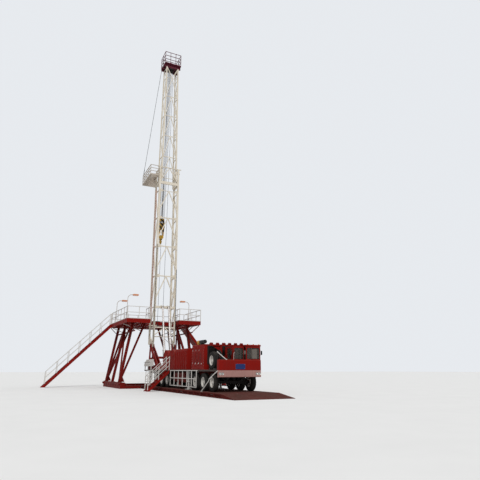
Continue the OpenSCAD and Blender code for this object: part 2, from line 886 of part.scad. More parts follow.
module cab_door() color("#b3221c") {
    x0 = front_x - 1600 + 256;
    x1 = front_x - 356;
    difference() {
        box(x0, x1, half_w - 38, half_w, deck_z + 86, 2874);
        plate_xz(half_w - 19, 50)
            translate([x0 + 80, 2190])
                soft_rect(x1 - x0 - 160, 620, 60);
        box(x0 + 70, x1 - 70, half_w - 39, half_w - 12, deck_z + 160, 2110);
    }
    box(x0 + 90, x0 + 210, half_w - 1, half_w + 30, 2050, 2080);
    for (z = door_hinges)
        difference() {
            union() {
                translate([door_hinge_x, door_hinge_y, z - 40])
                    cylinder(r = 18, h = 80);
                box(door_hinge_x - 30, door_hinge_x, half_w - 1, door_hinge_y + 8, z - 40, z + 40);
            }
            translate([door_hinge_x, door_hinge_y, z - 100])
                cylinder(r = 10 + fit_gap, h = 200);
        }
}

module spare_wheel() color("#202020") {
    x = front_x - 1480;
    y = -1160;
    z = deck_z + tyre_r;
    translate([x, y, z])
        wheel(-1);
    y_cyl(x, y + 10, z, spindle_r, 220);
    box(x - 60, x + 60, y + 115, y + 165, deck_z, z + 60);
    for (d = [-420, 300])
        box(x + d, x + d + 120, y - 120, y + 165, deck_z, deck_z + 90);
}

module mast_rest() color("#b3221c") {
    x = front_x - 2000;
    both() {
        box(x - 70, x + 70, 350, 490, deck_z, 3030);
        difference() {
            bar([x - 450, 420, deck_z - 60], [x - 30, 420, 2500], 90);
            box(x - 700, x, 370, 470, deck_z - 200, deck_z);
        }
        box(x - 110, x + 110, 310, 530, deck_z, deck_z + 25);
        plate_yz(x - 15, 30)
            polygon([[489, 2700], [489, 3031], [1050, 3031]]);
    }
    box(x - 50, x + 50, -351, 351, 2300, 2400);
    box(x - 100, x + 100, -1190, 1190, 3030, 3110);
    for (y = [-1090:436:1090]) {
        for (d = [-105, 85])
            plate_xz(y + d, 20)
                polygon([[x - 90, 3109], [x + 90, 3109], [x + 40, 3200], [x - 40, 3200]]);
        y_cyl(x, y - 10, 3170, 62, 170);
    }
}

module engine() color("#222222") {
    box(hood_x + 300, hood_x + 1900, -450, 450, deck_z, 2700);
    box(hood_x - 850, hood_x - 100, -500, 500, deck_z, 2600);
}

module engine_hood() color("#b3221c") {
    t = 25;
    difference() {
        plate_yz(hood_x, hood_l)
            union() {
                translate([-hood_half, deck_z])
                    square([2 * hood_half, 900]);
                translate([-hood_half, deck_z + 300])
                    soft_rect(2 * hood_half, hood_top - deck_z - 300, 90);
            }
        plate_yz(hood_x - 1, hood_l - t + 1)
            translate([-hood_half + t, deck_z - 1])
                square([2 * (hood_half - t), hood_top - deck_z - t + 1]);
        box(hood_x + hood_l - t - 1, hood_x + hood_l + 1, -rad_half - 5, rad_half + 5,
            rad_z0 - 5, rad_z1 + 5);
        both() for (i = [0:2])
            for (k = [0:7])
                box(hood_x + 260 + i * 560, hood_x + 620 + i * 560, hood_half - t - 1, hood_half + 1,
                    2050 + k * 90, 2095 + k * 90);
    }
    both() for (i = [1:2])
        box(hood_x + 60 + i * 560, hood_x + 90 + i * 560, hood_half - 1, hood_half + 12, deck_z + 80,
            hood_top - 130);
    for (x = [hood_x + 300, hood_x + 1300])
        box(x, x + 60, -hood_half + 100, hood_half - 100, hood_top - 1, hood_top + 20);
}

module radiator() color("#1c1c1e") {
    x = hood_x + hood_l;
    plate_yz(x - 60, 100)
        translate([-rad_half, rad_z0])
            rail_outline(2 * rad_half, rad_z1 - rad_z0, 4, 1, 60);
    box(x - 160, x - 59, -rad_half + 20, rad_half - 20, rad_z0 + 20, rad_z1 - 20);
    for (k = [1:13])
        box(x + 5, x + 30, -rad_half + 1, rad_half - 1, rad_z0 + 10 + k * (rad_z1 - rad_z0) / 14,
            rad_z0 + 34 + k * (rad_z1 - rad_z0) / 14);
    for (d = [-1, 1])
        box(x - 160, x - 60, d * 600 - 40, d * 600 + 40, deck_z, rad_z0 + 25);
}

module air_cleaner() color("#b08a30") {
    x = hood_x + 780;
    y = -1255;
    z = hood_top + 165;
    translate([x, y, z])
        rotate([0, 90, 0])
            rotate_extrude()
                polygon([[0, 0], [90, 0], [125, 35], [125, 900], [95, 930], [95, 1090], [125, 1100],
                         [125, 1240], [0, 1240]]);
    for (d = [150, 780])
        difference() {
            box(x + d, x + d + 60, y - 110, y + 110, hood_top, z - 20);
            translate([x + d - 1, y, z])
                rotate([0, 90, 0])
                    cylinder(r = 124, h = 62);
        }
    translate([x + 1010, y, hood_top])
        cylinder(r = 60, h = 120);
}

// Outline of the two drum covers in X and Z, d inside their outer skin
module cover_outline(d) {
    for (x = drum_covers) {
        translate([x, drum_z])
            circle(r = cover_r - d);
        translate([x - cover_r + d, deck_z - (d > 0 ? 1 : 0)])
            square([2 * (cover_r - d), drum_z - deck_z]);
    }
    translate([drum_covers[0], deck_z - (d > 0 ? 1 : 0)])
        square([drum_covers[1] - drum_covers[0], drum_z + 300 - deck_z - d]);
}

module drawworks_cover() color("#b3221c") {
    t = 20;
    w = 2780;
    x0 = drum_covers[1] + cover_r + 25;
    x1 = hood_x - 980;
    top = 3020;
    ribs = floor((x1 - x0 - 160) / 400);
    difference() {
        plate_xz(0, w)
            cover_outline(0);
        plate_xz(0, w - 2 * t)
            cover_outline(t);
        box(drum_x - 480, drum_x + 250, -950, 950, drum_z + 300, top + 200);
        y_cyl(drum_x, 0, drum_z, 80 + fit_gap, w + 2);
    }
    both() for (x = drum_covers) {
        y_cyl(x, w / 2 + 10, drum_z, x == drum_x ? 0 : 150, 22);
        for (a = [30:60:150])
            translate([x, w / 2 - 1, drum_z])
                rotate([0, -a, 0])
                    translate([180, 0, -15])
                        cube([cover_r - 185, 16, 30]);
    }
    difference() {
        plate_yz(x0, x1 - x0)
            union() {
                translate([-w / 2, deck_z])
                    square([w, 800]);
                translate([-w / 2, deck_z + 300])
                    soft_rect(w, top - deck_z - 300, 160);
            }
        plate_yz(x0 + t, x1 - x0 - 2 * t)
            union() {
                translate([-w / 2 + t, deck_z - 1])
                    square([w - 2 * t, 801]);
                translate([-w / 2 + t, deck_z + 300])
                    soft_rect(w - 2 * t, top - deck_z - 300 - t, 140);
            }
    }
    both() for (i = [0:ribs])
        box(x0 + 60 + i * 400, x0 + 110 + i * 400, w / 2 - 1, w / 2 + 40, deck_z, top - 200);
    box(drum_covers[1] + cover_r - 30, x0 + 1, -w / 2, w / 2, deck_z, deck_z + 500);
}

module drawworks_drum() color("#40403e") {
    y_cyl(drum_x, 0, drum_z, 300, 1700);
    y_cyl(drum_x, 0, drum_z, 80, 2840);
    both() {
        y_cyl(drum_x, 880, drum_z, 560, 60);
        difference() {
            y_cyl(drum_x, 1060, drum_z, 620, 260);
            y_cyl(drum_x, 1085, drum_z, 560, 260);
        }
        y_cyl(drum_x, 1100, drum_z, 180, 300);
        y_cyl(drum_x, 1410, drum_z, 120, 30);
    }
}

module mast_base() color("#a02822") {
    for (y = [-1120, -860, 860, 1120])
        plate_xz(y, 60)
            difference() {
                union() {
                    polygon([[tail_x, deck_z], [5600, deck_z], [5450, deck_z + 180],
                             [pivot_x + 200, pivot_z], [pivot_x - 200, pivot_z]]);
                    translate([pivot_x, pivot_z])
                        circle(r = 200);
                }
                polygon([[tail_x + 420, deck_z + 220], [4550, deck_z + 220], [3750, deck_z + 820],
                         [tail_x + 450, deck_z + 820]]);
                polygon([[tail_x + 460, deck_z + 960], [3560, deck_z + 960], [pivot_x + 250, pivot_z - 420],
                         [pivot_x + 60, pivot_z - 420]]);
            }
    both() {
        y_cyl(pivot_x, 990, pivot_z, 60, 400);
        box(5300, 5400, 880, 1100, deck_z, deck_z + 180);
        box(tail_x + 40, tail_x + 140, 880, 1100, deck_z, 2600);
        box(pivot_x - 60, pivot_x + 60, 880, 1100, pivot_z - 420, pivot_z - 330);
    }
    for (z = [1750, 2500])
        box(tail_x + 50, tail_x + 150, -831, 831, z, z + 200);
    both() {
        y_cyl(cyl_x, cyl_y, cyl_z, 45, 2 * (rail_in - cyl_y));
        for (y = [cyl_y - 146, cyl_y + 146])
            plate_xz(y, 24)
                polygon([[cyl_x - 160, frame_z0 + 30], [cyl_x + 160, frame_z0 + 30], [cyl_x + 70, cyl_z + 80],
                         [cyl_x - 70, cyl_z + 80]]);
    }
}

module control_panel() color("#e6dcc4") {
    x0 = 2300;
    x1 = 4200;
    y0 = -half_w - 90;
    for (x = [x0, (x0 + x1) / 2 - 30, x1 - 60])
        box(x, x + 60, y0 + 60, y0 + 120, deck_z, 1900);
    translate([x0, 0, 0])
        plate_yz(0, x1 - x0)
            polygon([[y0, 1840], [y0 + 300, 1840], [y0 + 300, 2420], [y0 + 180, 2420], [y0, 2050]]);
}

// A tyre and its rim with its axle along Y; s is the side the dish opens to
module wheel(s) {
    w = tyre_w / 2;
    mirror([0, s > 0 ? 1 : 0, 0])
        rotate([90, 0, 0])
            difference() {
                rotate_extrude($fn = 64)
                    difference() {
                        union() {
                            polygon([[spindle_r + fit_gap, -90], [spindle_r + fit_gap, 90], [hub_r, 90],
                                     [hub_r, -20], [hub_r + 60, -20], [rim_r - 60, 40], [rim_r - 30, 40],
                                     [rim_r - 30, 125], [rim_r, 132], [rim_r + 60, w - 8],
                                     [rim_r + 130, w], [tyre_r - 70, w - 6], [tyre_r - 20, w - 32],
                                     [tyre_r, w - 60], [tyre_r, 60 - w], [tyre_r - 20, 32 - w],
                                     [tyre_r - 70, 6 - w], [rim_r + 130, -w], [rim_r + 60, 8 - w],
                                     [rim_r, -132], [rim_r - 30, -125], [rim_r - 30, 10],
                                     [rim_r - 62, 10], [hub_r + 62, -50], [hub_r, -50], [hub_r, -90]]);
                        }
                        for (k = [-1.5:1:1.5])
                            translate([tyre_r - 12, k * 48 - 6])
                                square([13, 12]);
                    }
                for (a = [0:45:315])
                    rotate([0, 0, a])
                        translate([(hub_r + rim_r) / 2 + 8, 0, -60])
                            cylinder(r = 24, h = 140, $fn = 16);
            }
}

module single_wheel(x, side) color("#202020")
    translate([x, side * single_y, hub_z])
        wheel(side);

module twin_wheel(x, side) color("#202020") {
    translate([x, side * (wheel_out - tyre_w / 2), hub_z])
        wheel(side);
    translate([x, side * (wheel_out - 1.5 * tyre_w - twin_gap), hub_z])
        wheel(-side);
    translate([x, side * (wheel_out - tyre_w - twin_gap / 2), hub_z])
        rotate([90, 0, 0])
            difference() {
                cylinder(r = hub_r, h = tyre_w - 100, center = true);
                cylinder(r = spindle_r + fit_gap, h = tyre_w, center = true);
            }
}

module knuckle(x, side) color("#2c2a2a") {
    y_hub = single_y - kingpin_y;
    translate([x, side * kingpin_y, hub_z]) {
        translate([0, 0, -90 + fit_gap])
            cylinder(r = 50, h = 180 - 2 * fit_gap);
        y_cyl(0, side * (y_hub + 90) / 2, 0, spindle_r, y_hub + 90);
        y_cyl(0, side * 55, 0, 80, 40);
        difference() {
            box(-180, 0, -25, 25, -60, -30);
            translate([-155, 0, -61])
                cylinder(r = 12, h = 32);
        }
    }
}

module mast_lower_chords() color("#efe6d6") on_mast()
    both() {
        box(near_x - low_c, near_x, low_w / 2 - low_c, low_w / 2, 350, low_top);
        box(far_x, far_x + low_c, low_w / 2 - low_c, low_w / 2, 250, low_top);
        plate_xz(low_w / 2 - low_c / 2, low_c - 30)
            difference() {
                union() {
                    circle(r = 150);
                    polygon([[-130, 75], [0, -150], [110, -102], [near_x, 350], [near_x, 900],
                             [near_x - low_c, 900], [near_x - low_c - 60, 430], [-120, 430],
                             [far_x + low_c, 1000], [far_x, 1000], [far_x, 250], [-400, 60]]);
                }
                circle(r = 60 + fit_gap);
            }
    }

module mast_lower_braces() color("#efe6d6") on_mast() {
    h = low_bays * low_bay;
    inner = low_w - 2 * low_c;
    depth = low_d - 2 * low_c;
    plate_yz(near_x - low_c / 2 - 40, 80)
        translate([0, beam_z])
            vee_face(inner, inner, h, low_bays, low_web, 0.3);
    both() plate_xz(low_w / 2 - 40, 80)
        translate([far_x + low_c, beam_z])
            zig_face(depth, h, low_bays, low_web);
    box(near_x - low_c, near_x, -inner / 2, inner / 2, beam_z - 100, beam_z + 100);
    box(near_x - low_c, near_x - 20, -inner / 2, inner / 2, thick_z, thick_z + 300);
    both() {
        box(far_x + low_c, near_x - low_c, low_w / 2 - 90, low_w / 2 - 10, thick_z, thick_z + 300);
        box(far_x + low_c, near_x - low_c, low_w / 2 - 80, low_w / 2 - 10, low_top - 110, low_top);
        box(far_x + low_c, near_x - low_c, low_w / 2 - 80, low_w / 2 - 10, 1600, 1690);
        plate_xz(low_w / 2 - 40, 60)
            intersection() {
                union() {
                    polygon(bar_2d([far_x + low_c, 1690], [near_x - low_c, beam_z], low_web));
                    polygon(bar_2d([near_x - low_c, thick_z + 300], [far_x + low_c, low_top - 110], low_web));
                }
                translate([far_x + low_c, 1600])
                    square([depth, low_top - 1600]);
            }
    }
    box(near_x - 100, near_x - 10, -inner / 2, inner / 2, 1600, 1690);
    box(near_x - 100, near_x, -1280, 1280, low_top, low_top + 70);
    plate_yz(near_x - 85, 60)
        intersection() {
            union() {
                both_2d() polygon(bar_2d([inner / 2, 950], [30, 1600], 80));
                both_2d() polygon(bar_2d([inner / 2, thick_z + 340], [30, low_top], 80));
            }
            translate([-inner / 2, 850])
                square([inner, low_top - 849]);
        }
    both() for (y = [cyl_y - 125, cyl_y + 85])
        plate_xz(y + 20, 40)
            union() {
                polygon([[near_x - 20, beam_z - 190], [near_x - 20, beam_z + 190], [lug_x, beam_z + 90],
                         [lug_x, beam_z - 90]]);
                translate([lug_x, beam_z])
                    circle(r = 90);
            }
    for (x = board_hinges) {
        for (d = [-70, 30])
            box(x + d, x + d + 40, board_y - 35, -low_w / 2, board_z - 50, board_z + 50);
        translate([x - 70, board_y, board_z])
            rotate([0, 90, 0])
                cylinder(r = 25, h = 140);
    }
}

module mast_ladder() color("#a83028") on_mast() {
    x0 = -620;
    w = 420;
    plate_xz(-low_w / 2 - 70, 40)
        translate([x0, 2700])
            rail_outline(w, 13000, 1, 44, 40);
    for (i = [0:low_bays])
        for (x = [x0, x0 + w - 40])
            box(x, x + 40, -low_w / 2 - 51, -low_w / 2, beam_z + i * low_bay - 20,
                beam_z + i * low_bay + 20);
}

module mast_upper_chords() color("#efe6d6") on_mast()
    both() {
        for (x = [up_near - up_c, up_far])
            plate_yz(x, up_c)
                polygon([[up_w / 2 - up_c, up_foot], [up_w / 2, up_foot], [top_w / 2, crown_z],
                         [top_w / 2 - up_c, crown_z]]);
        for (z = [up_foot, low_top - 500]) {
            box(up_near - up_c, near_x - low_c - fit_gap, up_w / 2 - 40, low_w / 2 - 90, z, z + 300);
            box(far_x + low_c + fit_gap, up_far + up_c, up_w / 2 - 40, low_w / 2 - 90, z, z + 300);
        }
    }

module mast_upper_braces() color("#efe6d6") on_mast() {
    h = up_bays * up_bay;
    foot = crown_z - top_bay - h;
    drop = (up_w - top_w) / 2 / (crown_z - up_foot);
    w0 = up_w - 2 * up_c - 2 * drop * (foot - up_foot);
    w1 = w0 - 2 * drop * h;
    plate_yz(up_near - up_c / 2 - 30, 60)
        translate([0, foot]) {
            vee_face(w0, w1, h, up_bays, up_web, 0);
            intersection() {
                both_2d() polygon(bar_2d([0, h], [w1 / 2 - drop * top_bay, h + top_bay - 60], up_web));
                polygon([[-w1 / 2, h], [w1 / 2, h], [w1 / 2 - drop * top_bay, h + top_bay],
                         [drop * top_bay - w1 / 2, h + top_bay]]);
            }
        }
    both() translate([0, up_w / 2, up_foot])
        rotate([atan(drop), 0, 0])
            plate_xz(-up_c / 2, 60)
                translate([up_far + up_c, foot - up_foot]) {
                    zig_face(up_d - 2 * up_c, h, up_bays, up_web);
                    intersection() {
                        polygon(bar_2d([up_d - 2 * up_c, h], [0, h + top_bay - 60], up_web));
                        translate([0, h])
                            square([up_d - 2 * up_c, top_bay]);
                    }
                    translate([0, h + top_bay - 80])
                        square([up_d - 2 * up_c, 75]);
                }
}

module crown() color("#7a2434") on_mast() {
    z0 = crown_z;
    half = 950;
    x0 = sheave_x - 460;
    x1 = near_x;
    beam = 380;
    for (x = [up_near - 160, up_far - 40])
        difference() {
            box(x, x + 160, -half, half, z0, z0 + beam);
            box(-1220, -400, -336, 336, z0 - 1, z0 + beam + 1);
            for (d = [0, 1])
                box(x + (d == 0 ? -1 : 95), x + (d == 0 ? 65 : 161), -half - 1, half + 1, z0 + 40,
                    z0 + beam - 40);
        }
    both() {
        for (y = [355, 620])
            plate_xz(y, 40)
                polygon([[up_far, z0], [up_near, z0], [up_near, z0 + beam], [-500, z0 + 720],
                         [-1080, z0 + 720], [-1180, z0 + beam]]);
        plate_xz(half - 30, 60)
            translate([x0, z0 + beam - 100])
                square([x1 - x0, 100]);
        y_cyl(sheave_x, 500, sheave_z, 110, 240);
    }
    y_cyl(sheave_x, 0, sheave_z, 60, 1280);
    difference() {
        box(x0, x1, -half, half, z0 + beam, z0 + beam + 30);
        box(-1220, -280, -336, 336, z0 + beam - 1, z0 + beam + 31);
    }
    translate([0, 0, z0 + beam + 30]) {
        h = crown_rail;
        both() plate_xz(half - 25, 50)
            translate([x0, 0])
                rail_outline(x1 - x0, h, 2, 3, 45);
        for (x = [x0, x1 - 50])
            plate_yz(x, 50)
                translate([-half, 0])
                    rail_outline(2 * half, h, 3, 3, 45);
    }
    bar([-370, -600, z0 + 56], [-400, -1060, z0 + 56], 110);
    difference() {
        y_cyl(-400, -1080, z0 + 40, 120, 60);
        y_cyl(-400, -1080, z0 + 40, 35, 62);
    }
}

module crown_sheaves() color("#4a4038") on_mast()
    translate([sheave_x, 0, sheave_z])
        rotate([90, 0, 0])
            rotate_extrude()
                difference() {
                    translate([60 + fit_gap, -330])
                        square([335 - 60 - fit_gap, 660]);
                    for (i = [0:5])
                        translate([335, -275 + i * 110]) {
                            circle(r = 32);
                            translate([-10, -22])
                                square([20, 44]);
                        }
                    for (i = [0:4])
                        translate([250, -222 + i * 110])
                            square([90, 4]);
                }

module racking_board() color("#e8dfcf") on_mast() {
    out = -2050;
    inn = board_y - 70;
    x0 = -2550;
    x1 = 500;
    z = board_z - 20;
    n = 11;
    p = (x1 - x0 - 200) / n;
    difference() {
        union() {
            box(x0, x1, out, inn, z, z + 90);
            box(x0, far_x - 60, inn - 1, -620, z, z + 90);
        }
        for (i = [0:n - 1])
            box(x0 + 130 + i * p, x0 + 130 + i * p + p - 70, out + 120,
                x0 + 200 + i * p < far_x - p - 60 ? -680 : inn - 60, z - 1, z + 91);
    }
    box(x0, x1, out - 30, out, z - 20, z + 90);
    for (x = board_hinges)
        difference() {
            union() {
                box(x - 25, x + 25, inn - 1, board_y, board_z - 20, board_z + 40);
                translate([x - 25, board_y, board_z])
                    rotate([0, 90, 0])
                        cylinder(r = 45, h = 50);
            }
            translate([x - 71, board_y, board_z])
                rotate([0, 90, 0])
                    cylinder(r = 25 + fit_gap, h = 142);
        }
    translate([0, 0, z + 90]) {
        plate_xz(out - 5, 50)
            translate([x0, 0])
                rail_outline(x1 - x0, 1050, 4, 3, 45);
        for (e = [[x0, -620], [x1 - 45, inn]])
            plate_yz(e[0], 45)
                translate([out - 30, 0])
                    rail_outline(e[1] - out + 30, 1050, 1, 3, 45);
    }
}

module travelling_block() color("#d9a520") {
    z0 = 13900;
    top = 2700;
    for (y = [-230, 190])
        translate([0, y + 20, 0])
            plate_xz(0, 40)
                union() {
                    translate([0, z0 + 1850])
                        circle(r = 420);
                    polygon([[-420, z0 + 1850], [-130, z0 + 600], [130, z0 + 600], [420, z0 + 1850],
                             [150, z0 + top], [-150, z0 + top]]);
                }
    for (i = [0:3])
        y_cyl(0, -142 + i * 95, z0 + 1850, 390, 75);
    y_cyl(0, 0, z0 + 1850, 90, 500);
    box(-120, 120, -191, 191, z0 + top - 260, z0 + top);
    box(-130, 130, -191, 191, z0 + 600, z0 + 900);
    translate([0, 0, z0 + 420])
        cylinder(r = 150, h = 181);
    translate([0, 0, z0 + 230])
        cylinder(r = 70, h = 200);
    difference() {
        translate([0, 0, z0 + 260])
            rotate([90, 0, 0])
                cylinder(r = 260, h = 130, center = true);
        translate([0, 0, z0 + 260])
            rotate([90, 0, 0])
                cylinder(r = 130, h = 131, center = true);
        box(80, 300, -70, 70, z0 + 260, z0 + 600);
    }
    translate([0, 0, z0 + 380])
        cylinder(r = 90, h = 60);
}

// Places children along the raising cylinders: z from the foot pin towards the lug
module on_cylinder() {
    lug = [pivot_x + lug_x * cos(lean) - beam_z * sin(lean), 0,
           pivot_z + lug_x * sin(lean) + beam_z * cos(lean)];
    d = lug - [cyl_x, 0, cyl_z];
    translate([cyl_x, 0, cyl_z])
        rotate([0, atan2(d[0], d[2]), 0])
            children();
}

module raise_barrels() color("#c9c7c2") on_cylinder()
    both() translate([0, cyl_y, 0])
        difference() {
            union() {
                translate([0, 0, 60])
                    cylinder(r = barrel_r, h = barrel_l - 60);
                y_cyl(0, 0, 0, 90, 160);
            }
            translate([0, 0, 95])
                cylinder(r = stage_r + fit_gap, h = barrel_l);
            y_cyl(0, 0, 0, 45 + fit_gap, 200);
        }

module raise_stage() color("#d9d7d3") on_cylinder()
    both() translate([0, cyl_y, stroke / 2 + 105])
        difference() {
            union() {
                cylinder(r = stage_r, h = 2060);
                translate([0, 0, 1960])
                    cylinder(r = stage_r + 12, h = 100);
            }
            translate([0, 0, 30])
                cylinder(r = rod_r + fit_gap, h = 2060);
        }

module raise_rods() color("#e6e6e4") on_cylinder()
    both() translate([0, cyl_y, 0]) {
        translate([0, 0, stroke + 140])
            cylinder(r = rod_r, h = 2375 - 200);
        y_cyl(0, 0, stroke + 2375, 85, 150);
        y_cyl(0, 0, stroke + 2375, 45, 160);
    }

base_mat();
substructure();
floor_frame();
floor_rails();
floor_stair();
pipe_slide();
floor_lamps();
rotary_table();
chassis_frame();
axles();
deck();
jacks();
tanks();
guard_panels();
stair_rails();
deck_stair();
bumper();
nose_panel();
cab_shell();
cab_glass();
cab_interior();
cab_door();
spare_wheel();
mast_rest();
engine();
engine_hood();
radiator();
air_cleaner();
drawworks_cover();
drawworks_drum();
mast_base();
control_panel();
knuckle(axle_front[0], 1);  // knuckle_front_1l
knuckle(axle_front[0], -1);  // knuckle_front_1r
knuckle(axle_front[1], 1);  // knuckle_front_2l
knuckle(axle_front[1], -1);  // knuckle_front_2r
single_wheel(axle_front[0], 1);  // wheel_front_1l
single_wheel(axle_front[0], -1);  // wheel_front_1r
single_wheel(axle_front[1], 1);  // wheel_front_2l
single_wheel(axle_front[1], -1);  // wheel_front_2r
single_wheel(axle_front[2], 1);  // wheel_front_3l
single_wheel(axle_front[2], -1);  // wheel_front_3r
twin_wheel(axle_rear[0], 1);  // wheel_rear_1l
twin_wheel(axle_rear[0], -1);  // wheel_rear_1r
twin_wheel(axle_rear[1], 1);  // wheel_rear_2l
twin_wheel(axle_rear[1], -1);  // wheel_rear_2r
twin_wheel(axle_rear[2], 1);  // wheel_rear_3l
twin_wheel(axle_rear[2], -1);  // wheel_rear_3r
mast_lower_chords();
mast_lower_braces();
mast_ladder();
mast_upper_chords();
mast_upper_braces();
crown();
crown_sheaves();
racking_board();
travelling_block();
raise_barrels();
raise_stage();
raise_rods();
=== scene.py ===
import math
import random
import bpy
import bmesh
from mathutils import Matrix, Vector


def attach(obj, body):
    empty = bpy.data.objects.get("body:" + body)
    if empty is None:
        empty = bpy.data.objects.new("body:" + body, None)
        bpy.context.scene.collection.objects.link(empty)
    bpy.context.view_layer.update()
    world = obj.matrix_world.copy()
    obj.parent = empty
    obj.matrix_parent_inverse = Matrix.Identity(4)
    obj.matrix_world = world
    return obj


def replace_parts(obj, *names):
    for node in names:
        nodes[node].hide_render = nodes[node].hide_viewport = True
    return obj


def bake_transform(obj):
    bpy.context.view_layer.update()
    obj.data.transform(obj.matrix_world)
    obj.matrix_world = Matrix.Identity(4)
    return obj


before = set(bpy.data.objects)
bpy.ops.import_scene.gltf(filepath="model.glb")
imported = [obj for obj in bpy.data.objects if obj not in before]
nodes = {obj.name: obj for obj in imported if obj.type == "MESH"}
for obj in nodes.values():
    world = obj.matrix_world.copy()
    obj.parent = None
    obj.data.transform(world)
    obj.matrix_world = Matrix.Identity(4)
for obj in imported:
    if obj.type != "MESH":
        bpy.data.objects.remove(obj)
scene = bpy.context.scene
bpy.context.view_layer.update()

# camera, at the photograph's place on the ground
photoCamera = {"place": (45.5, -13.47, 1.53), "heading": (-0.895, 0.446), "pitchDegrees": 18.54,
               "lens": 34.97, "sensor": 36.0, "shiftY": -0.055}


def addPhotoCamera(c):
    data = bpy.data.cameras.new("photoCamera")
    data.lens, data.sensor_width, data.sensor_fit = c["lens"], c["sensor"], "HORIZONTAL"
    data.shift_y = c["shiftY"]
    data.clip_start, data.clip_end = 0.1, 2000
    camera = bpy.data.objects.new("photoCamera", data)
    scene.collection.objects.link(camera)
    pitch = math.radians(c["pitchDegrees"])
    ahead = Vector((*c["heading"], 0)).normalized() * math.cos(pitch) + Vector((0, 0, math.sin(pitch)))
    camera.location = c["place"]
    camera.rotation_euler = ahead.to_track_quat("-Z", "Y").to_euler()
    scene.camera = camera


addPhotoCamera(photoCamera)
print("camera placed")

# where things are, repeated from the part's own sizes, in metres
mastPlace = {"pivotX": 2.55, "pivotZ": 3.6, "leanDegrees": 3.2}
leanAngle = math.radians(mastPlace["leanDegrees"])


def onMast(x, y, z):  # a point given along the raised mast, as a point in the frame
    return Vector((mastPlace["pivotX"] + x * math.cos(leanAngle) - z * math.sin(leanAngle), y,
                   mastPlace["pivotZ"] + x * math.sin(leanAngle) + z * math.cos(leanAngle)))


mastTurn = Matrix.Rotation(-leanAngle, 4, "Y")


# small makers that work on an open bmesh
def placeAt(point, along=None):
    turn = Matrix.Identity(4) if along is None else Vector(along).to_track_quat("Z", "Y").to_matrix().to_4x4()
    return Matrix.Translation(Vector(point)) @ turn


def paintIsland(verts, finish):  # every face that hangs together with these corners
    seen, todo = set(), [v for v in verts if v.is_valid]
    while todo:
        for face in todo.pop().link_faces:
            if face not in seen:
                seen.add(face)
                face.material_index = finish
                todo.extend(face.verts)
    return seen


def addBlock(bm, low, high, finish=0, edge=0.006, turn=None):  # between any two opposite corners
    low, high = (Vector([pick(pair) for pair in zip(low, high)]) for pick in (min, max))
    made = bmesh.ops.create_cube(bm, size=1.0, matrix=Matrix.Translation((low + high) / 2)
                                 @ Matrix.Diagonal((*(high - low), 1.0)))
    verts = made["verts"]
    if edge:
        edges = list({e for v in verts for e in v.link_edges})
        made = bmesh.ops.bevel(bm, geom=edges, offset=edge,
                               affect="EDGES", segments=1, profile=0.5, material=-1)
        verts = list({v for f in made["faces"] for v in f.verts} | {v for v in verts if v.is_valid})
    if turn is not None:
        bmesh.ops.transform(bm, matrix=turn, verts=verts)
    paintIsland(verts, finish)


def addRod(bm, start, end, radius, finish=0, sides=8, endRadius=None):
    start, end = Vector(start), Vector(end)
    along = end - start
    made = bmesh.ops.create_cone(bm, cap_ends=True, segments=sides, radius1=radius,
                                 radius2=radius if endRadius is None else endRadius, depth=along.length,
                                 matrix=placeAt((start + end) / 2, along))
    paintIsland(made["verts"][:1], finish)


def addPipe(bm, points, radius, finish=0, sides=8):
    points = [Vector(p) for p in points]
    ways = [(b - a).normalized() for a, b in zip(points, points[1:])]
    ring = bmesh.ops.create_circle(bm, cap_ends=False, segments=sides, radius=radius,
                                   matrix=placeAt(points[0], ways[0]))["verts"]
    edges = [e for e in {e for v in ring for e in v.link_edges} if all(v in ring for v in e.verts)]
    first = list(edges)
    turns = [a.rotation_difference((a + b).normalized()).to_matrix() for a, b in zip(ways, ways[1:])]
    turns = [Matrix.Identity(3), *turns, Matrix.Identity(3)]  # half of each bend, and none at the ends
    for i in range(1, len(points)):
        out = bmesh.ops.extrude_edge_only(bm, edges=edges)["geom"]
        verts = [g for g in out if isinstance(g, bmesh.types.BMVert)]
        edges = [g for g in out if isinstance(g, bmesh.types.BMEdge) and all(v in verts for v in g.verts)]
        bmesh.ops.translate(bm, verts=verts, vec=points[i] - points[i - 1])
        bmesh.ops.rotate(bm, verts=verts, cent=points[i], matrix=turns[i] @ turns[i - 1])
    for loop in (first, edges):
        bmesh.ops.edgeloop_fill(bm, edges=loop)
    paintIsland(ring[:1], finish)


def addLathe(bm, outline, centre, along, finish=0, steps=24):  # outline holds (radius, distance along) pairs
    place = placeAt(centre, along)
    verts = [bm.verts.new(place @ Vector((r, 0, h))) for r, h in outline]
    edges = [bm.edges.new(pair) for pair in zip(verts, verts[1:])]
    bmesh.ops.spin(bm, geom=verts + edges, cent=Vector(centre), axis=place.to_3x3() @ Vector((0, 0, 1)),
                   dvec=(0, 0, 0), angle=math.tau, steps=steps, use_merge=True, use_duplicate=False)
    return paintIsland(verts, finish)


def addBolts(bm, points, along, radius=0.018, height=0.014, finish=0):
    for p in points:
        p, way = Vector(p), Vector(along).normalized()
        addRod(bm, p - way * 0.004, p + way * height, radius, finish, sides=6)


def mirrored(half):  # an outline of which the second half repeats the first the other way up
    return half + [(r, -h) for r, h in reversed(half)]


def boltRing(centre, radius, count, shift=0.0):  # points on an upright circle that faces along Y
    x, y, z = centre
    angles = [math.tau * (k + shift) / count for k in range(count)]
    return [(x + radius * math.cos(a), y, z + radius * math.sin(a)) for a in angles]


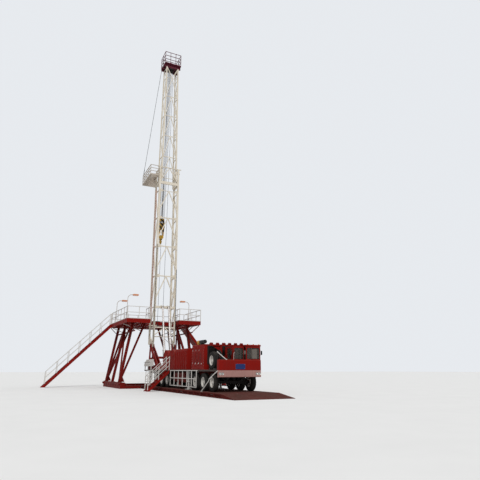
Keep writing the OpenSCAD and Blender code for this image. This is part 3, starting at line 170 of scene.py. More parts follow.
def finishPiece(name, bm, body, paints, sharp=35.0):  # paints names the finishes, split by blanks
    bmesh.ops.remove_doubles(bm, verts=bm.verts, dist=0.00005)
    bmesh.ops.recalc_face_normals(bm, faces=bm.faces)
    mesh = bpy.data.meshes.new(name)
    bm.to_mesh(mesh)
    bm.free()
    for paint in paints.split():
        mesh.materials.append(finishes[paint])
    mesh.polygons.foreach_set("use_smooth", [True] * len(mesh.polygons))
    mesh.set_sharp_from_angle(angle=math.radians(sharp))
    piece = bpy.data.objects.new(name, mesh)
    scene.collection.objects.link(piece)
    if body:
        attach(piece, body)
    return piece


# shared shader groups
def newGroup(name, inputs, outputs):
    tree = bpy.data.node_groups.new(name, "ShaderNodeTree")
    for kind, label, value in inputs:
        socket = tree.interface.new_socket(name=label, in_out="INPUT", socket_type="NodeSocket" + kind)
        socket.default_value = value
    for kind, label in outputs:
        tree.interface.new_socket(name=label, in_out="OUTPUT", socket_type="NodeSocket" + kind)
    return tree, tree.nodes.new("NodeGroupInput"), tree.nodes.new("NodeGroupOutput")


def feed(tree, socket, value):  # a number or colour is set, and a node's output is linked
    if isinstance(value, (int, float, tuple)):
        socket.default_value = value
    else:
        tree.links.new(value, socket)


def noiseNode(tree, vector, scale, detail=3.0, rough=0.55):
    node = tree.nodes.new("ShaderNodeTexNoise")
    node.inputs["Scale"].default_value = scale
    node.inputs["Detail"].default_value = detail
    node.inputs["Roughness"].default_value = rough
    tree.links.new(vector, node.inputs["Vector"])
    return node.outputs["Fac"]


def mapRange(tree, value, low, high, to0=0.0, to1=1.0):
    node = tree.nodes.new("ShaderNodeMapRange")
    for label, number in (("From Min", low), ("From Max", high), ("To Min", to0), ("To Max", to1)):
        feed(tree, node.inputs[label], number)
    tree.links.new(value, node.inputs["Value"])
    return node.outputs["Result"]


def calc(tree, how, a, b=None, clamp=False):
    node = tree.nodes.new("ShaderNodeMath")
    node.operation, node.use_clamp = how, clamp
    for socket, value in zip(node.inputs, (a, b)):
        if value is not None:
            feed(tree, socket, value)
    return node.outputs[0]


def blendColours(tree, mask, a, b, how="MIX"):
    node = tree.nodes.new("ShaderNodeMix")
    node.data_type, node.blend_type = "RGBA", how
    for socket, value in ((node.inputs[0], mask), (node.inputs[6], a), (node.inputs[7], b)):
        feed(tree, socket, value)
    return node.outputs[2]


def stretched(tree, vector, scale):
    node = tree.nodes.new("ShaderNodeMapping")
    node.inputs["Scale"].default_value = scale
    tree.links.new(vector, node.inputs["Vector"])
    return node.outputs["Vector"]


def makeWeathering():  # fading, run-down dirt, dust that settles on top and rust in spots
    tree, inside, out = newGroup("siteWeathering", [("Color", "Paint", (0.5, 0.1, 0.1, 1)),
                                                    ("Color", "Faded", (0.4, 0.1, 0.1, 1)),
                                                    ("Color", "Dirt", (0.12, 0.1, 0.08, 1)),
                                                    ("Color", "Rust", (0.15, 0.05, 0.02, 1)),
                                                    ("Float", "Fading", 0.4), ("Float", "Streaks", 0.3),
                                                    ("Float", "Dust", 0.3), ("Float", "Rust Spots", 0.1),
                                                    ("Float", "Roughness", 0.45),
                                                    ("Float", "Patch Scale", 1.0)],
                                 [("Color", "Color"), ("Float", "Roughness"), ("Float", "Height")])
    here = tree.nodes.new("ShaderNodeTexCoord")
    spread = tree.nodes.new("ShaderNodeVectorMath")
    spread.operation = "SCALE"
    tree.links.new(here.outputs["Object"], spread.inputs[0])
    tree.links.new(inside.outputs["Patch Scale"], spread.inputs["Scale"])
    place = spread.outputs[0]
    patches = mapRange(tree, noiseNode(tree, place, 0.9, 4), 0.35, 0.7)
    fade = calc(tree, "MULTIPLY", patches, inside.outputs["Fading"])
    colour = blendColours(tree, fade, inside.outputs["Paint"], inside.outputs["Faded"])
    runs = mapRange(tree, noiseNode(tree, stretched(tree, place, (7, 7, 0.55)), 1.6, 4, 0.6), 0.5, 0.72)
    smear = mapRange(tree, noiseNode(tree, place, 2.3, 3), 0.4, 0.65)
    streak = calc(tree, "MULTIPLY", calc(tree, "MULTIPLY", runs, smear), inside.outputs["Streaks"])
    colour = blendColours(tree, streak, colour, inside.outputs["Dirt"])
    parts = tree.nodes.new("ShaderNodeSeparateXYZ")
    tree.links.new(here.outputs["Normal"], parts.inputs[0])
    upward = mapRange(tree, parts.outputs["Z"], 0.5, 1.0)
    film = calc(tree, "MULTIPLY", mapRange(tree, noiseNode(tree, place, 5.0, 5), 0.3, 0.7, 0.35, 1.0),
                calc(tree, "MULTIPLY", upward, inside.outputs["Dust"]))
    dusty = blendColours(tree, 0.45, inside.outputs["Dirt"], (0.42, 0.37, 0.31, 1))
    colour = blendColours(tree, film, colour, dusty)
    limit = calc(tree, "SUBTRACT", 0.82, calc(tree, "MULTIPLY", inside.outputs["Rust Spots"], 0.35))
    spots = mapRange(tree, noiseNode(tree, place, 9.0, 6, 0.65), limit, calc(tree, "ADD", limit, 0.05))
    colour = blendColours(tree, spots, colour, inside.outputs["Rust"])
    rough = calc(tree, "ADD", inside.outputs["Roughness"],
                 calc(tree, "MULTIPLY", calc(tree, "ADD", film, calc(tree, "ADD", streak, spots)), 0.3))
    rough = calc(tree, "ADD", rough, mapRange(tree, noiseNode(tree, place, 14.0, 3), 0.3, 0.7, -0.05, 0.05),
                 True)
    height = calc(tree, "ADD", noiseNode(tree, place, 38.0, 4), calc(tree, "MULTIPLY", spots, -0.5))
    for value, label in ((colour, "Color"), (rough, "Roughness"), (height, "Height")):
        tree.links.new(value, out.inputs[label])
    return tree


def makeEdgeWear():  # a mask along corners, broken up so that it looks rubbed
    tree, inside, out = newGroup("cornerWear", [("Float", "Width", 0.02), ("Float", "Amount", 0.5)],
                                 [("Float", "Mask")])
    rounded = tree.nodes.new("ShaderNodeBevel")
    rounded.samples = 4
    tree.links.new(inside.outputs["Width"], rounded.inputs["Radius"])
    plain = tree.nodes.new("ShaderNodeNewGeometry")
    facing = tree.nodes.new("ShaderNodeVectorMath")
    facing.operation = "DOT_PRODUCT"
    tree.links.new(rounded.outputs["Normal"], facing.inputs[0])
    tree.links.new(plain.outputs["Normal"], facing.inputs[1])
    corner = mapRange(tree, facing.outputs["Value"], 0.98, 0.82)
    here = tree.nodes.new("ShaderNodeTexCoord")
    broken = mapRange(tree, noiseNode(tree, here.outputs["Object"], 7.0, 5, 0.65), 0.42, 0.62)
    mask = calc(tree, "MULTIPLY", calc(tree, "MULTIPLY", corner, broken), inside.outputs["Amount"], True)
    tree.links.new(mask, out.inputs["Mask"])
    return tree


weathering = makeWeathering()
edgeWear = makeEdgeWear()


def placeGroup(tree, group, values):
    node = tree.nodes.new("ShaderNodeGroup")
    node.node_tree = group
    for label, value in values.items():
        node.inputs[label].default_value = value if isinstance(value, (int, float)) else (*value[:3], 1.0)
    return node


def paintedFinish(name, look):
    finish = bpy.data.materials.new(name)
    finish.use_nodes = True
    tree = finish.node_tree
    shader = tree.nodes["Principled BSDF"]
    worn = placeGroup(tree, weathering, {"Paint": look["colour"],
                                         "Faded": look.get("faded", tuple(c * 0.8 for c in look["colour"])),
                                         "Dirt": look.get("dirt", (0.1, 0.085, 0.07)),
                                         "Rust": look.get("rust", (0.13, 0.045, 0.02)),
                                         "Fading": look.get("fading", 0.6),
                                         "Streaks": look.get("streaks", 0.35), "Dust": look.get("dust", 0.35),
                                         "Rust Spots": look.get("rustSpots", 0.15),
                                         "Roughness": look.get("roughness", 0.45),
                                         "Patch Scale": look.get("patchScale", 1.0)})
    colour = worn.outputs["Color"]
    if "pattern" in look:
        colour = look["pattern"](tree, colour)
    if look.get("wear", 0.4):
        rubbed = placeGroup(tree, edgeWear, {"Width": look.get("wearWidth", 0.018),
                                             "Amount": look.get("wear", 0.4)})
        colour = blendColours(tree, rubbed.outputs["Mask"], colour,
                              (*look.get("under", (0.16, 0.13, 0.11)), 1))
    tree.links.new(colour, shader.inputs["Base Color"])
    tree.links.new(worn.outputs["Roughness"], shader.inputs["Roughness"])
    shader.inputs["Metallic"].default_value = look.get("metallic", 0.0)
    shader.inputs["Specular IOR Level"].default_value = look.get("specular", 0.12)
    shader.inputs["Coat Weight"].default_value = look.get("coat", 0.0)
    shader.inputs["Coat Roughness"].default_value = 0.15
    bump = tree.nodes.new("ShaderNodeBump")
    bump.inputs["Strength"].default_value = look.get("bump", 0.12)
    bump.inputs["Distance"].default_value = look.get("bumpDepth", 0.004)
    height = worn.outputs["Height"]
    if "relief" in look:
        height = look["relief"](tree, height)
    tree.links.new(height, bump.inputs["Height"])
    tree.links.new(bump.outputs["Normal"], shader.inputs["Normal"])
    return finish


def objectPlace(tree):
    return tree.nodes.new("ShaderNodeTexCoord").outputs["Object"]


def axisOf(tree, place, which):
    node = tree.nodes.new("ShaderNodeSeparateXYZ")
    tree.links.new(place, node.inputs[0])
    return node.outputs[which]


def warningStripes(tree, colour):  # black bars that slope up across the block's upper half
    place = objectPlace(tree)
    slope = calc(tree, "ADD", axisOf(tree, place, "Z"), axisOf(tree, place, "Y"))
    slope = calc(tree, "ADD", slope, calc(tree, "MULTIPLY", axisOf(tree, place, "X"), 0.6))
    bars = calc(tree, "GREATER_THAN", calc(tree, "FRACT", calc(tree, "MULTIPLY", slope, 2.1)), 0.5)
    upper = calc(tree, "GREATER_THAN", axisOf(tree, place, "Z"), 15.15)
    return blendColours(tree, calc(tree, "MULTIPLY", bars, upper), colour, (0.018, 0.017, 0.016, 1))


def darkFront(tree, colour):  # the air cleaner's forward half is black rubber
    front = mapRange(tree, axisOf(tree, objectPlace(tree), "X"), 15.02, 15.04)
    return blendColours(tree, front, colour, (0.02, 0.02, 0.02, 1))


def lampHeads(tree, colour):  # white poles under orange lamp housings
    place = objectPlace(tree)
    inner = calc(tree, "LESS_THAN", calc(tree, "ABSOLUTE", axisOf(tree, place, "Y")), 3.02)
    high = calc(tree, "GREATER_THAN", axisOf(tree, place, "Z"), 8.0)
    pale = blendColours(tree, mapRange(tree, noiseNode(tree, place, 6.0, 4), 0.35, 0.7),
                        (0.52, 0.5, 0.47, 1), (0.4, 0.34, 0.29, 1))
    return blendColours(tree, calc(tree, "MULTIPLY", inner, high), pale, colour)


def matWear(tree, colour):  # tyre tracks and trodden earth on the mat's top
    place = objectPlace(tree)
    across = calc(tree, "ABSOLUTE", axisOf(tree, place, "Y"))
    offTrack = calc(tree, "ABSOLUTE", calc(tree, "SUBTRACT", across, 1.2))
    track = calc(tree, "SUBTRACT", 1.0, mapRange(tree, offTrack, 0.15, 0.6))
    broken = mapRange(tree, noiseNode(tree, stretched(tree, place, (0.5, 2, 2)), 2.2, 6, 0.65), 0.35, 0.65)
    normal = tree.nodes.new("ShaderNodeTexCoord").outputs["Normal"]
    facing = mapRange(tree, axisOf(tree, normal, "Z"), 0.6, 0.95)
    mask = calc(tree, "MULTIPLY", calc(tree, "MULTIPLY", track, broken), facing)
    return blendColours(tree, calc(tree, "MULTIPLY", mask, 0.6), colour, (0.075, 0.045, 0.036, 1))


def treadPlate(tree, height):  # raised lozenges of non-slip plate, on level faces only
    place = stretched(tree, objectPlace(tree), (14, 14, 14))
    a = calc(tree, "SINE", calc(tree, "ADD", axisOf(tree, place, "X"), axisOf(tree, place, "Y")))
    b = calc(tree, "SINE", calc(tree, "SUBTRACT", axisOf(tree, place, "X"), axisOf(tree, place, "Y")))
    lozenge = mapRange(tree, calc(tree, "MULTIPLY", a, b), 0.45, 0.75)
    return calc(tree, "ADD", height, calc(tree, "MULTIPLY", lozenge, 1.4))


def ropeLay(tree, height):  # strands that turn round a wire rope
    place = stretched(tree, objectPlace(tree), (60, 60, 60))
    strand = calc(tree, "SINE", calc(tree, "ADD", axisOf(tree, place, "Z"),
                                     calc(tree, "MULTIPLY", axisOf(tree, place, "X"), 2.0)))
    return calc(tree, "ADD", height, calc(tree, "MULTIPLY", strand, 0.8))


looks = {
    "redPaint": {"colour": (0.196, 0.0075, 0.005), "faded": (0.14, 0.008, 0.0055), "coat": 0.03,
                 "specular": 0.03, "dirt": (0.075, 0.04, 0.032), "streaks": 0.25, "dust": 0.28,
                 "rustSpots": 0.05, "wear": 0.35},
    "darkRed": {"colour": (0.095, 0.007, 0.005), "faded": (0.055, 0.007, 0.006), "roughness": 0.55,
                "dirt": (0.055, 0.033, 0.027), "streaks": 0.4, "dust": 0.3, "rustSpots": 0.2, "wear": 0.45},
    "legRed": {"colour": (0.135, 0.007, 0.005), "faded": (0.07, 0.006, 0.005), "roughness": 0.5,
               "specular": 0.05, "dirt": (0.055, 0.033, 0.027), "streaks": 0.4, "dust": 0.25},
    "matRed": {"colour": (0.09, 0.012, 0.01), "faded": (0.058, 0.016, 0.013), "roughness": 0.8,
               "specular": 0.02, "dirt": (0.055, 0.038, 0.03), "streaks": 0.4, "dust": 0.22, "rustSpots": 0.4,
               "wear": 0.5, "bump": 0.3, "pattern": matWear},
    "whitePaint": {"colour": (0.56, 0.54, 0.51), "faded": (0.46, 0.43, 0.39),
                   "streaks": 0.4, "rustSpots": 0.2, "wear": 0.35, "under": (0.2, 0.12, 0.08)},
    "creamPaint": {"colour": (0.62, 0.57, 0.48), "faded": (0.53, 0.46, 0.36),
                   "dirt": (0.24, 0.17, 0.12), "streaks": 0.45, "dust": 0.3, "rustSpots": 0.22, "wear": 0.3,
                   "under": (0.25, 0.13, 0.08), "rust": (0.22, 0.09, 0.05)},
    "boardPaint": {"colour": (0.42, 0.37, 0.31), "faded": (0.33, 0.28, 0.23), "roughness": 0.55,
                   "dirt": (0.16, 0.11, 0.08), "streaks": 0.5, "dust": 0.4, "rustSpots": 0.3},
    "blackPaint": {"colour": (0.016, 0.015, 0.015), "faded": (0.026, 0.024, 0.022), "roughness": 0.55,
                   "dirt": (0.07, 0.06, 0.05), "streaks": 0.4, "dust": 0.5, "rustSpots": 0.1, "wear": 0.3,
                   "under": (0.09, 0.08, 0.07)},
    "crownPaint": {"colour": (0.105, 0.014, 0.026), "faded": (0.07, 0.018, 0.028), "roughness": 0.55,
                   "streaks": 0.5, "dust": 0.3, "rustSpots": 0.3, "wear": 0.5, "under": (0.17, 0.08, 0.07)},
    "yellowPaint": {"colour": (0.56, 0.34, 0.045), "faded": (0.45, 0.27, 0.05),
                    "streaks": 0.4, "dust": 0.3, "rustSpots": 0.1, "wear": 0.45, "pattern": warningStripes},
    "cleanerPaint": {"colour": (0.5, 0.27, 0.05), "faded": (0.38, 0.2, 0.05), "roughness": 0.5,
                     "wear": 0.2, "pattern": darkFront},
    "bumperPaint": {"colour": (0.345, 0.185, 0.162), "faded": (0.285, 0.15, 0.132), "roughness": 0.5,
                    "dirt": (0.15, 0.09, 0.07), "streaks": 0.5, "dust": 0.4,
                    "under": (0.16, 0.03, 0.025)},
    "lampPaint": {"colour": (0.58, 0.25, 0.13), "faded": (0.48, 0.22, 0.13),
                  "roughness": 0.4, "wear": 0.2, "pattern": lampHeads},
    "ladderPaint": {"colour": (0.5, 0.34, 0.28), "faded": (0.36, 0.17, 0.13), "roughness": 0.5, "fading": 0.8,
                    "streaks": 0.5, "dust": 0.3, "rustSpots": 0.3},
    "lampBowl": {"colour": (0.78, 0.78, 0.74), "faded": (0.7, 0.69, 0.65), "roughness": 0.18, "metallic": 0.6,
                 "specular": 0.5, "dust": 0.1, "streaks": 0.1,
                 "rustSpots": 0.0, "wear": 0.0, "patchScale": 5.0},
    "bareSteel": {"colour": (0.5, 0.47, 0.45), "faded": (0.42, 0.38, 0.36), "roughness": 0.32,
                  "metallic": 0.65, "dirt": (0.14, 0.12, 0.1), "dust": 0.2, "rustSpots": 0.1, "wear": 0.2,
                  "under": (0.6, 0.58, 0.55), "bump": 0.06},
    "darkSteel": {"colour": (0.05, 0.046, 0.043), "faded": (0.075, 0.062, 0.052), "roughness": 0.48,
                  "metallic": 0.55, "streaks": 0.3, "rustSpots": 0.3, "wear": 0.5,
                  "under": (0.3, 0.28, 0.26)},
    "deckPlate": {"colour": (0.06, 0.046, 0.042), "faded": (0.09, 0.066, 0.055), "roughness": 0.6,
                  "metallic": 0.2, "dust": 0.5, "rustSpots": 0.3,
                  "wear": 0.5, "bump": 0.4, "relief": treadPlate},
    "wireRope": {"colour": (0.03, 0.028, 0.026), "faded": (0.055, 0.05, 0.045), "roughness": 0.6,
                 "metallic": 0.3, "dust": 0.1, "wear": 0, "bump": 0.5, "bumpDepth": 0.006, "relief": ropeLay},
    "tyreRubber": {"colour": (0.014, 0.013, 0.012), "faded": (0.026, 0.022, 0.02), "roughness": 0.85,
                   "specular": 0.15, "dirt": (0.06, 0.043, 0.035), "dust": 0.25, "rustSpots": 0.0,
                   "wear": 0.25, "under": (0.07, 0.06, 0.05), "patchScale": 2.5, "bump": 0.25},
    "rimPaint": {"colour": (0.56, 0.54, 0.5), "faded": (0.44, 0.41, 0.37), "roughness": 0.5,
                 "dirt": (0.13, 0.09, 0.07), "streaks": 0.5, "dust": 0.4, "rustSpots": 0.3,
                 "under": (0.17, 0.09, 0.06), "patchScale": 3.0},
    "bluePaint": {"colour": (0.012, 0.026, 0.115), "faded": (0.018, 0.03, 0.095), "roughness": 0.4,
                  "coat": 0.08, "dust": 0.2, "streaks": 0.3, "rustSpots": 0.0, "wear": 0.3,
                  "under": (0.35, 0.35, 0.36), "patchScale": 3.0},
    "rubberBlack": {"colour": (0.012, 0.012, 0.012), "faded": (0.022, 0.021, 0.02), "roughness": 0.7,
                    "dust": 0.3, "rustSpots": 0.0, "wear": 0.15,
                    "under": (0.05, 0.05, 0.05), "patchScale": 3.0},
    "seatCloth": {"colour": (0.075, 0.062, 0.05), "faded": (0.1, 0.085, 0.07), "roughness": 0.92,
                  "dust": 0.2, "rustSpots": 0.0, "streaks": 0.1, "wear": 0.0, "patchScale": 6.0, "bump": 0.5},
    "tailRed": {"colour": (0.3, 0.006, 0.006), "faded": (0.22, 0.008, 0.008), "roughness": 0.25, "coat": 0.4,
                "dust": 0.2, "streaks": 0.2, "rustSpots": 0.0, "wear": 0.0, "patchScale": 4.0},
    "amberGlow": {"colour": (0.6, 0.19, 0.02), "faded": (0.5, 0.15, 0.02), "roughness": 0.22, "coat": 0.4,
                  "dust": 0.2, "streaks": 0.2, "rustSpots": 0.0, "wear": 0.0, "patchScale": 4.0},
}
finishes = {name: paintedFinish(name, look) for name, look in looks.items()}


def glassFinish(name, tint, through, rough):
    finish = bpy.data.materials.new(name)
    finish.use_nodes = True
    tree = finish.node_tree
    shader = tree.nodes["Principled BSDF"]
    shader.inputs["Transmission Weight"].default_value = through
    shader.inputs["IOR"].default_value = 1.45
    place = objectPlace(tree)
    film = mapRange(tree, noiseNode(tree, place, 3.0, 5), 0.45, 0.75, 0.0, 0.5)
    colour = blendColours(tree, film, (*tint, 1), (*[c * 0.6 + 0.08 for c in tint], 1))
    tree.links.new(colour, shader.inputs["Base Color"])
    tree.links.new(mapRange(tree, noiseNode(tree, place, 6.0, 4), 0.35, 0.7, rough, rough + 0.12),
                   shader.inputs["Roughness"])
    return finish


finishes["tintedGlass"] = glassFinish("tintedGlass", (0.16, 0.135, 0.11), 0.8, 0.04)
finishes["lensGlass"] = glassFinish("lensGlass", (0.9, 0.9, 0.87), 0.75, 0.06)
print("finishes made:", len(finishes))

# finishes on the CAD nodes that stay
nodeFinish = {
    "base_mat": "matRed", "substructure": "legRed", "floor_frame": "redPaint", "rotary_table": "darkSteel",
    "floor_rails": "whitePaint", "floor_stair": "redPaint", "stair_rails": "whitePaint",
    "pipe_slide": "redPaint", "floor_lamps": "lampPaint", "chassis_frame": "darkRed", "axles": "blackPaint",
    "deck": "deckPlate", "jacks": "whitePaint", "tanks": "darkRed", "guard_panels": "whitePaint",
    "deck_stair": "redPaint", "bumper": "bumperPaint", "nose_panel": "redPaint", "cab_shell": "redPaint",
    "cab_glass": "tintedGlass", "cab_interior": "blackPaint", "cab_door": "redPaint", "mast_rest": "redPaint",
    "engine": "blackPaint", "engine_hood": "redPaint", "radiator": "blackPaint",
    "air_cleaner": "cleanerPaint", "drawworks_cover": "redPaint", "drawworks_drum": "darkSteel",
    "mast_base": "redPaint", "control_panel": "whitePaint", "mast_lower_chords": "creamPaint",
    "mast_lower_braces": "creamPaint", "mast_ladder": "ladderPaint", "mast_upper_chords": "creamPaint",
    "mast_upper_braces": "creamPaint", "crown": "crownPaint", "crown_sheaves": "darkSteel",
    "racking_board": "boardPaint", "travelling_block": "yellowPaint", "raise_barrels": "bareSteel",
    "raise_stage": "bareSteel", "raise_rods": "bareSteel",
}
for nodeName, node in nodes.items():
    plain = "tyreRubber" if nodeName.startswith(("wheel_", "spare")) else "blackPaint"
    node.data.materials.clear()
    node.data.materials.append(finishes[nodeFinish.get(nodeName, plain)])
print("CAD nodes painted:", len(nodes))

# wheels: tyre with tread lugs, dished rim, hub and nuts
wheelFacts = {"outer": 0.55, "halfWidth": 0.155, "rimRadius": 0.285, "lugs": 34, "lugDepth": 0.016,
              "nuts": 10, "frontX": (17.43, 15.98, 14.53), "rearX": (8.61, 7.24, 5.87), "hubZ": 0.8,
              "singleY": 1.275, "twinY": (1.275, 0.925), "spare": (17.02, -1.16, 2.1)}


def wheelPattern(f):  # axle along Z, the dish opening towards +Z
    bm = bmesh.new()
    w, tread = f["halfWidth"], f["outer"] - f["lugDepth"]
    addLathe(bm, [(0.262, w - 0.034), (0.288, w - 0.022), (0.318, w - 0.012), (0.345, w - 0.004), (0.415, w),
                  (0.468, w - 0.006), (0.505, w - 0.02), (tread - 0.006, w - 0.036), (tread, w - 0.056),
                  (tread, 0.0), (tread, 0.056 - w), (tread - 0.006, 0.036 - w), (0.505, 0.02 - w),
                  (0.468, 0.006 - w), (0.415, -w), (0.345, 0.004 - w), (0.318, 0.012 - w),
                  (0.262, 0.034 - w)], (0, 0, 0), (0, 0, 1), 0, 48)
    for i in range(f["lugs"]):
        turn = math.tau * i / f["lugs"]
        for row, (z0, z1, shift, arc) in enumerate(((-w + 0.03, -0.052, 0.0, 0.058),
                                                    (-0.044, 0.044, 0.5, 0.07),
                                                    (0.052, w - 0.03, 0.0, 0.058))):
            low = Vector((tread - 0.01, -arc / 2, z0))
            high = Vector((f["outer"] - 0.0004, arc / 2, z1))
            made = bmesh.ops.create_cube(bm, size=1.0, matrix=Matrix.Translation((low + high) / 2)
                                         @ Matrix.Diagonal((*(high - low), 1.0)))["verts"]
            for v in made:  # the lug narrows to its top, and the shoulder rows lean with the tyre
                if v.co.x > tread:
                    v.co.y *= 0.86
                    v.co.z = (v.co.z - (z0 + z1) / 2) * 0.92 + (z0 + z1) / 2
                    if row != 1 and abs(v.co.z) > 0.1:
                        v.co.x -= 0.012
            bmesh.ops.rotate(bm, verts=made, cent=(0, 0, 0),
                             matrix=Matrix.Rotation(turn + shift * math.tau / f["lugs"], 3, "Z"))
    for side in (1, -1):  # raised rings on the sidewall
        addLathe(bm, [(0.366, side * (w - 0.004)), (0.37, side * (w - 0.0005)), (0.378, side * (w - 0.0005)),
                      (0.382, side * (w - 0.004))], (0, 0, 0), (0, 0, 1), 0, 48)
    r = f["rimRadius"]
    addLathe(bm, [(r - 0.022, 0.034 - w), (r - 0.004, 0.02 - w), (r + 0.014, 0.014 - w),
                  (r + 0.014, 0.022 - w), (r - 0.01, 0.03 - w), (r - 0.03, 0.062 - w), (r - 0.03, -0.01),
                  (r - 0.062, -0.008), (0.165, -0.062), (0.1, -0.062), (0.1, -0.088), (0.062, -0.088)],
             (0, 0, 0), (0, 0, 1), 1, 48)
    rim = addLathe(bm, [(0.062, 0.088), (0.112, 0.088), (0.12, 0.078), (0.12, -0.024), (0.168, -0.024),
                        (r - 0.075, 0.022), (r - 0.06, 0.038), (r - 0.03, 0.04), (r - 0.03, w - 0.06),
                        (r - 0.012, w - 0.034), (r + 0.012, w - 0.02), (r + 0.016, w - 0.01),
                        (r + 0.004, w - 0.008), (r - 0.02, w - 0.026), (r - 0.022, w - 0.034)],
                   (0, 0, 0), (0, 0, 1), 1, 48)
    bm.normal_update()
    disc = [face for face in rim if 0.17 < face.calc_center_median().xy.length < 0.205
            and abs(face.normal.z) > 0.3 and face.calc_center_median().z > -0.03]
    disc.sort(key=lambda face: math.atan2(*face.calc_center_median().yx))
    holes = [face for i, face in enumerate(disc) if i % 6 in (0, 1, 2)]
    bmesh.ops.inset_region(bm, faces=holes, thickness=0.007, depth=0.0)
    for face in holes:
        face.material_index = 2
    bmesh.ops.translate(bm, verts=list({v for face in holes for v in face.verts}), vec=(0, 0, -0.012))
    addLathe(bm, [(0.0, 0.118), (0.04, 0.116), (0.062, 0.106), (0.07, 0.086), (0.07, 0.07)],
             (0, 0, 0), (0, 0, 1), 1, 24)
    for i in range(f["nuts"]):
        a = math.tau * i / f["nuts"]
        spot = Vector((0.143 * math.cos(a), 0.143 * math.sin(a), -0.026))
        addRod(bm, spot, spot + Vector((0, 0, 0.03)), 0.013, 2, 6, 0.011)
    bmesh.ops.remove_doubles(bm, verts=bm.verts, dist=0.00005)
    pattern = bpy.data.meshes.new("wheelPattern")
    bm.to_mesh(pattern)
    bm.free()
    return pattern


def addWheelCopy(bm, pattern, centre, side):
    before = len(bm.verts)
    bm.from_mesh(pattern)
    bm.verts.ensure_lookup_table()
    turn = Matrix.Rotation(math.radians(-90 * side), 4, "X")  # +Z goes to the side that the dish opens to
    spin = Matrix.Rotation(wheelChance.uniform(0, math.tau), 4, "Z")
    bmesh.ops.transform(bm, matrix=Matrix.Translation(centre) @ turn @ spin, verts=bm.verts[before:])


wheelChance = random.Random(11)
pattern = wheelPattern(wheelFacts)
wheelPaints = "tyreRubber rimPaint darkSteel"
f = wheelFacts
for letter, side in (("l", 1), ("r", -1)):
    for i in range(3):
        for end, code, axleX, rows in (("front", "f", f["frontX"], (f["singleY"],)),
                                       ("rear", "b", f["rearX"], f["twinY"])):
            bm = bmesh.new()
            for y, facing in zip(rows, (side, -side)):
                addWheelCopy(bm, pattern, (axleX[i], side * y, f["hubZ"]), facing)
            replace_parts(finishPiece(f"wheel_dressed_{end}_{i + 1}{letter}", bm,
                                    f"wheel_{code}{i + 1}{letter}", wheelPaints),
                        f"wheel_{end}_{i + 1}{letter}")
x, y, z = f["spare"]
bm = bmesh.new()
addWheelCopy(bm, pattern, (x, y, z), -1)
addRod(bm, (x, y - 0.1, z), (x, y + 0.118, z), 0.055, 2, 16)
addBlock(bm, (x - 0.06, y + 0.115, 1.55), (x + 0.06, y + 0.165, z + 0.06), 2)
for low, high in ((-0.42, -0.3), (0.3, 0.42)):
    addBlock(bm, (x + low, y - 0.12, 1.55), (x + high, y + 0.165, 1.64), 2)
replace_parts(finishPiece("spare_wheel_dressed", bm, "rig", wheelPaints), "spare_wheel")
print("wheels made")

# wire ropes: four falls to the block, the fast line and the stay to the racking board
ropeFacts = {"radius": 0.016, "crownX": 0.003, "crownZ": 35.007, "crownRadius": 0.322, "blockZ": 15.75,
             "blockRadius": 0.372, "grooves": ((-0.142, -0.165), (-0.047, -0.055), (0.048, 0.055),
                                               (0.143, 0.165)), "drum": (8.0, 2.3)}


def straight(low, high, steps):
    return [low.lerp(high, i / steps) for i in range(steps + 1)]


def overCrown(f, y, last):  # points round the top of a crown sheave, by eighths of a half turn
    x, r, z = f["crownX"], f["crownRadius"], f["crownZ"]
    return [Vector((x + r * math.cos(a), y, z + r * math.sin(a)))
            for a in (math.pi * k / 8 for k in range(1, last + 1))]


def ropeFall(bm, f, blockY, crownY):
    start, end = (Vector((way * f["blockRadius"], blockY, f["blockZ"])) for way in (1, -1))
    front, back = (Vector((f["crownX"] + way * f["crownRadius"], crownY, f["crownZ"])) for way in (1, -1))
    addPipe(bm, straight(start, front, 8) + overCrown(f, crownY, 7) + straight(back, end, 8),
            f["radius"], 0, 6)


bm = bmesh.new()
for blockY, crownY in ropeFacts["grooves"]:
    ropeFall(bm, ropeFacts, blockY, crownY)
falls = finishPiece("hoist_rope_falls", bm, None, "wireRope", 60)
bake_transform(falls)

bm = bmesh.new()
f = ropeFacts
mastFoot = onMast(-0.35, 0.0, 1.0)
for foot, y in ((mastFoot, 0.275), (onMast(-0.55, -0.42, 2.0), -0.275)):  # the fast line, then the dead line
    leave = Vector((f["crownX"] + f["crownRadius"], y, f["crownZ"]))
    addPipe(bm, straight(foot, leave, 10) + overCrown(f, y, 6), f["radius"], 0, 6)
fast = finishPiece("fast_line_on_mast", bm, None, "wireRope", 60)
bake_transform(fast)

bm = bmesh.new()  # turn-down sheave, its cheeks and the dead line's anchor, all at the mast's foot
spot = mastFoot + Vector((0.17, 0.03, 0.0))
addLathe(bm, [(0.035, -0.03), (0.15, -0.03), (0.168, -0.022), (0.158, -0.012), (0.15, 0.0), (0.158, 0.012),
              (0.168, 0.022), (0.15, 0.03), (0.035, 0.03), (0.035, -0.03)], spot, (0, 1, 0), 0, 28)
addRod(bm, spot - Vector((0, 0.095, 0)), spot + Vector((0, 0.095, 0)), 0.03, 0, 12)
for d in (-0.075, 0.055):
    addBlock(bm, spot + Vector((-0.06, d, -0.1)), spot + Vector((0.06, d + 0.02, 0.12)), 1, 0.008)
addBlock(bm, spot + Vector((-0.07, -0.93, -0.16)), spot + Vector((0.05, 0.9, -0.09)), 1, 0.008)
anchor = onMast(-0.55, -0.42, 1.9)
addLathe(bm, mirrored([(0.0, -0.06), (0.1, -0.06), (0.105, -0.045), (0.075, -0.035)]),
         anchor, (0, 1, 0), 0, 24)
addBlock(bm, anchor + Vector((-0.05, -0.64, -0.05)), anchor + Vector((0.05, -0.06, 0.05)), 1, 0.008)
finishPiece("mast_foot_sheave", bm, "mast_lower", "darkSteel creamPaint")

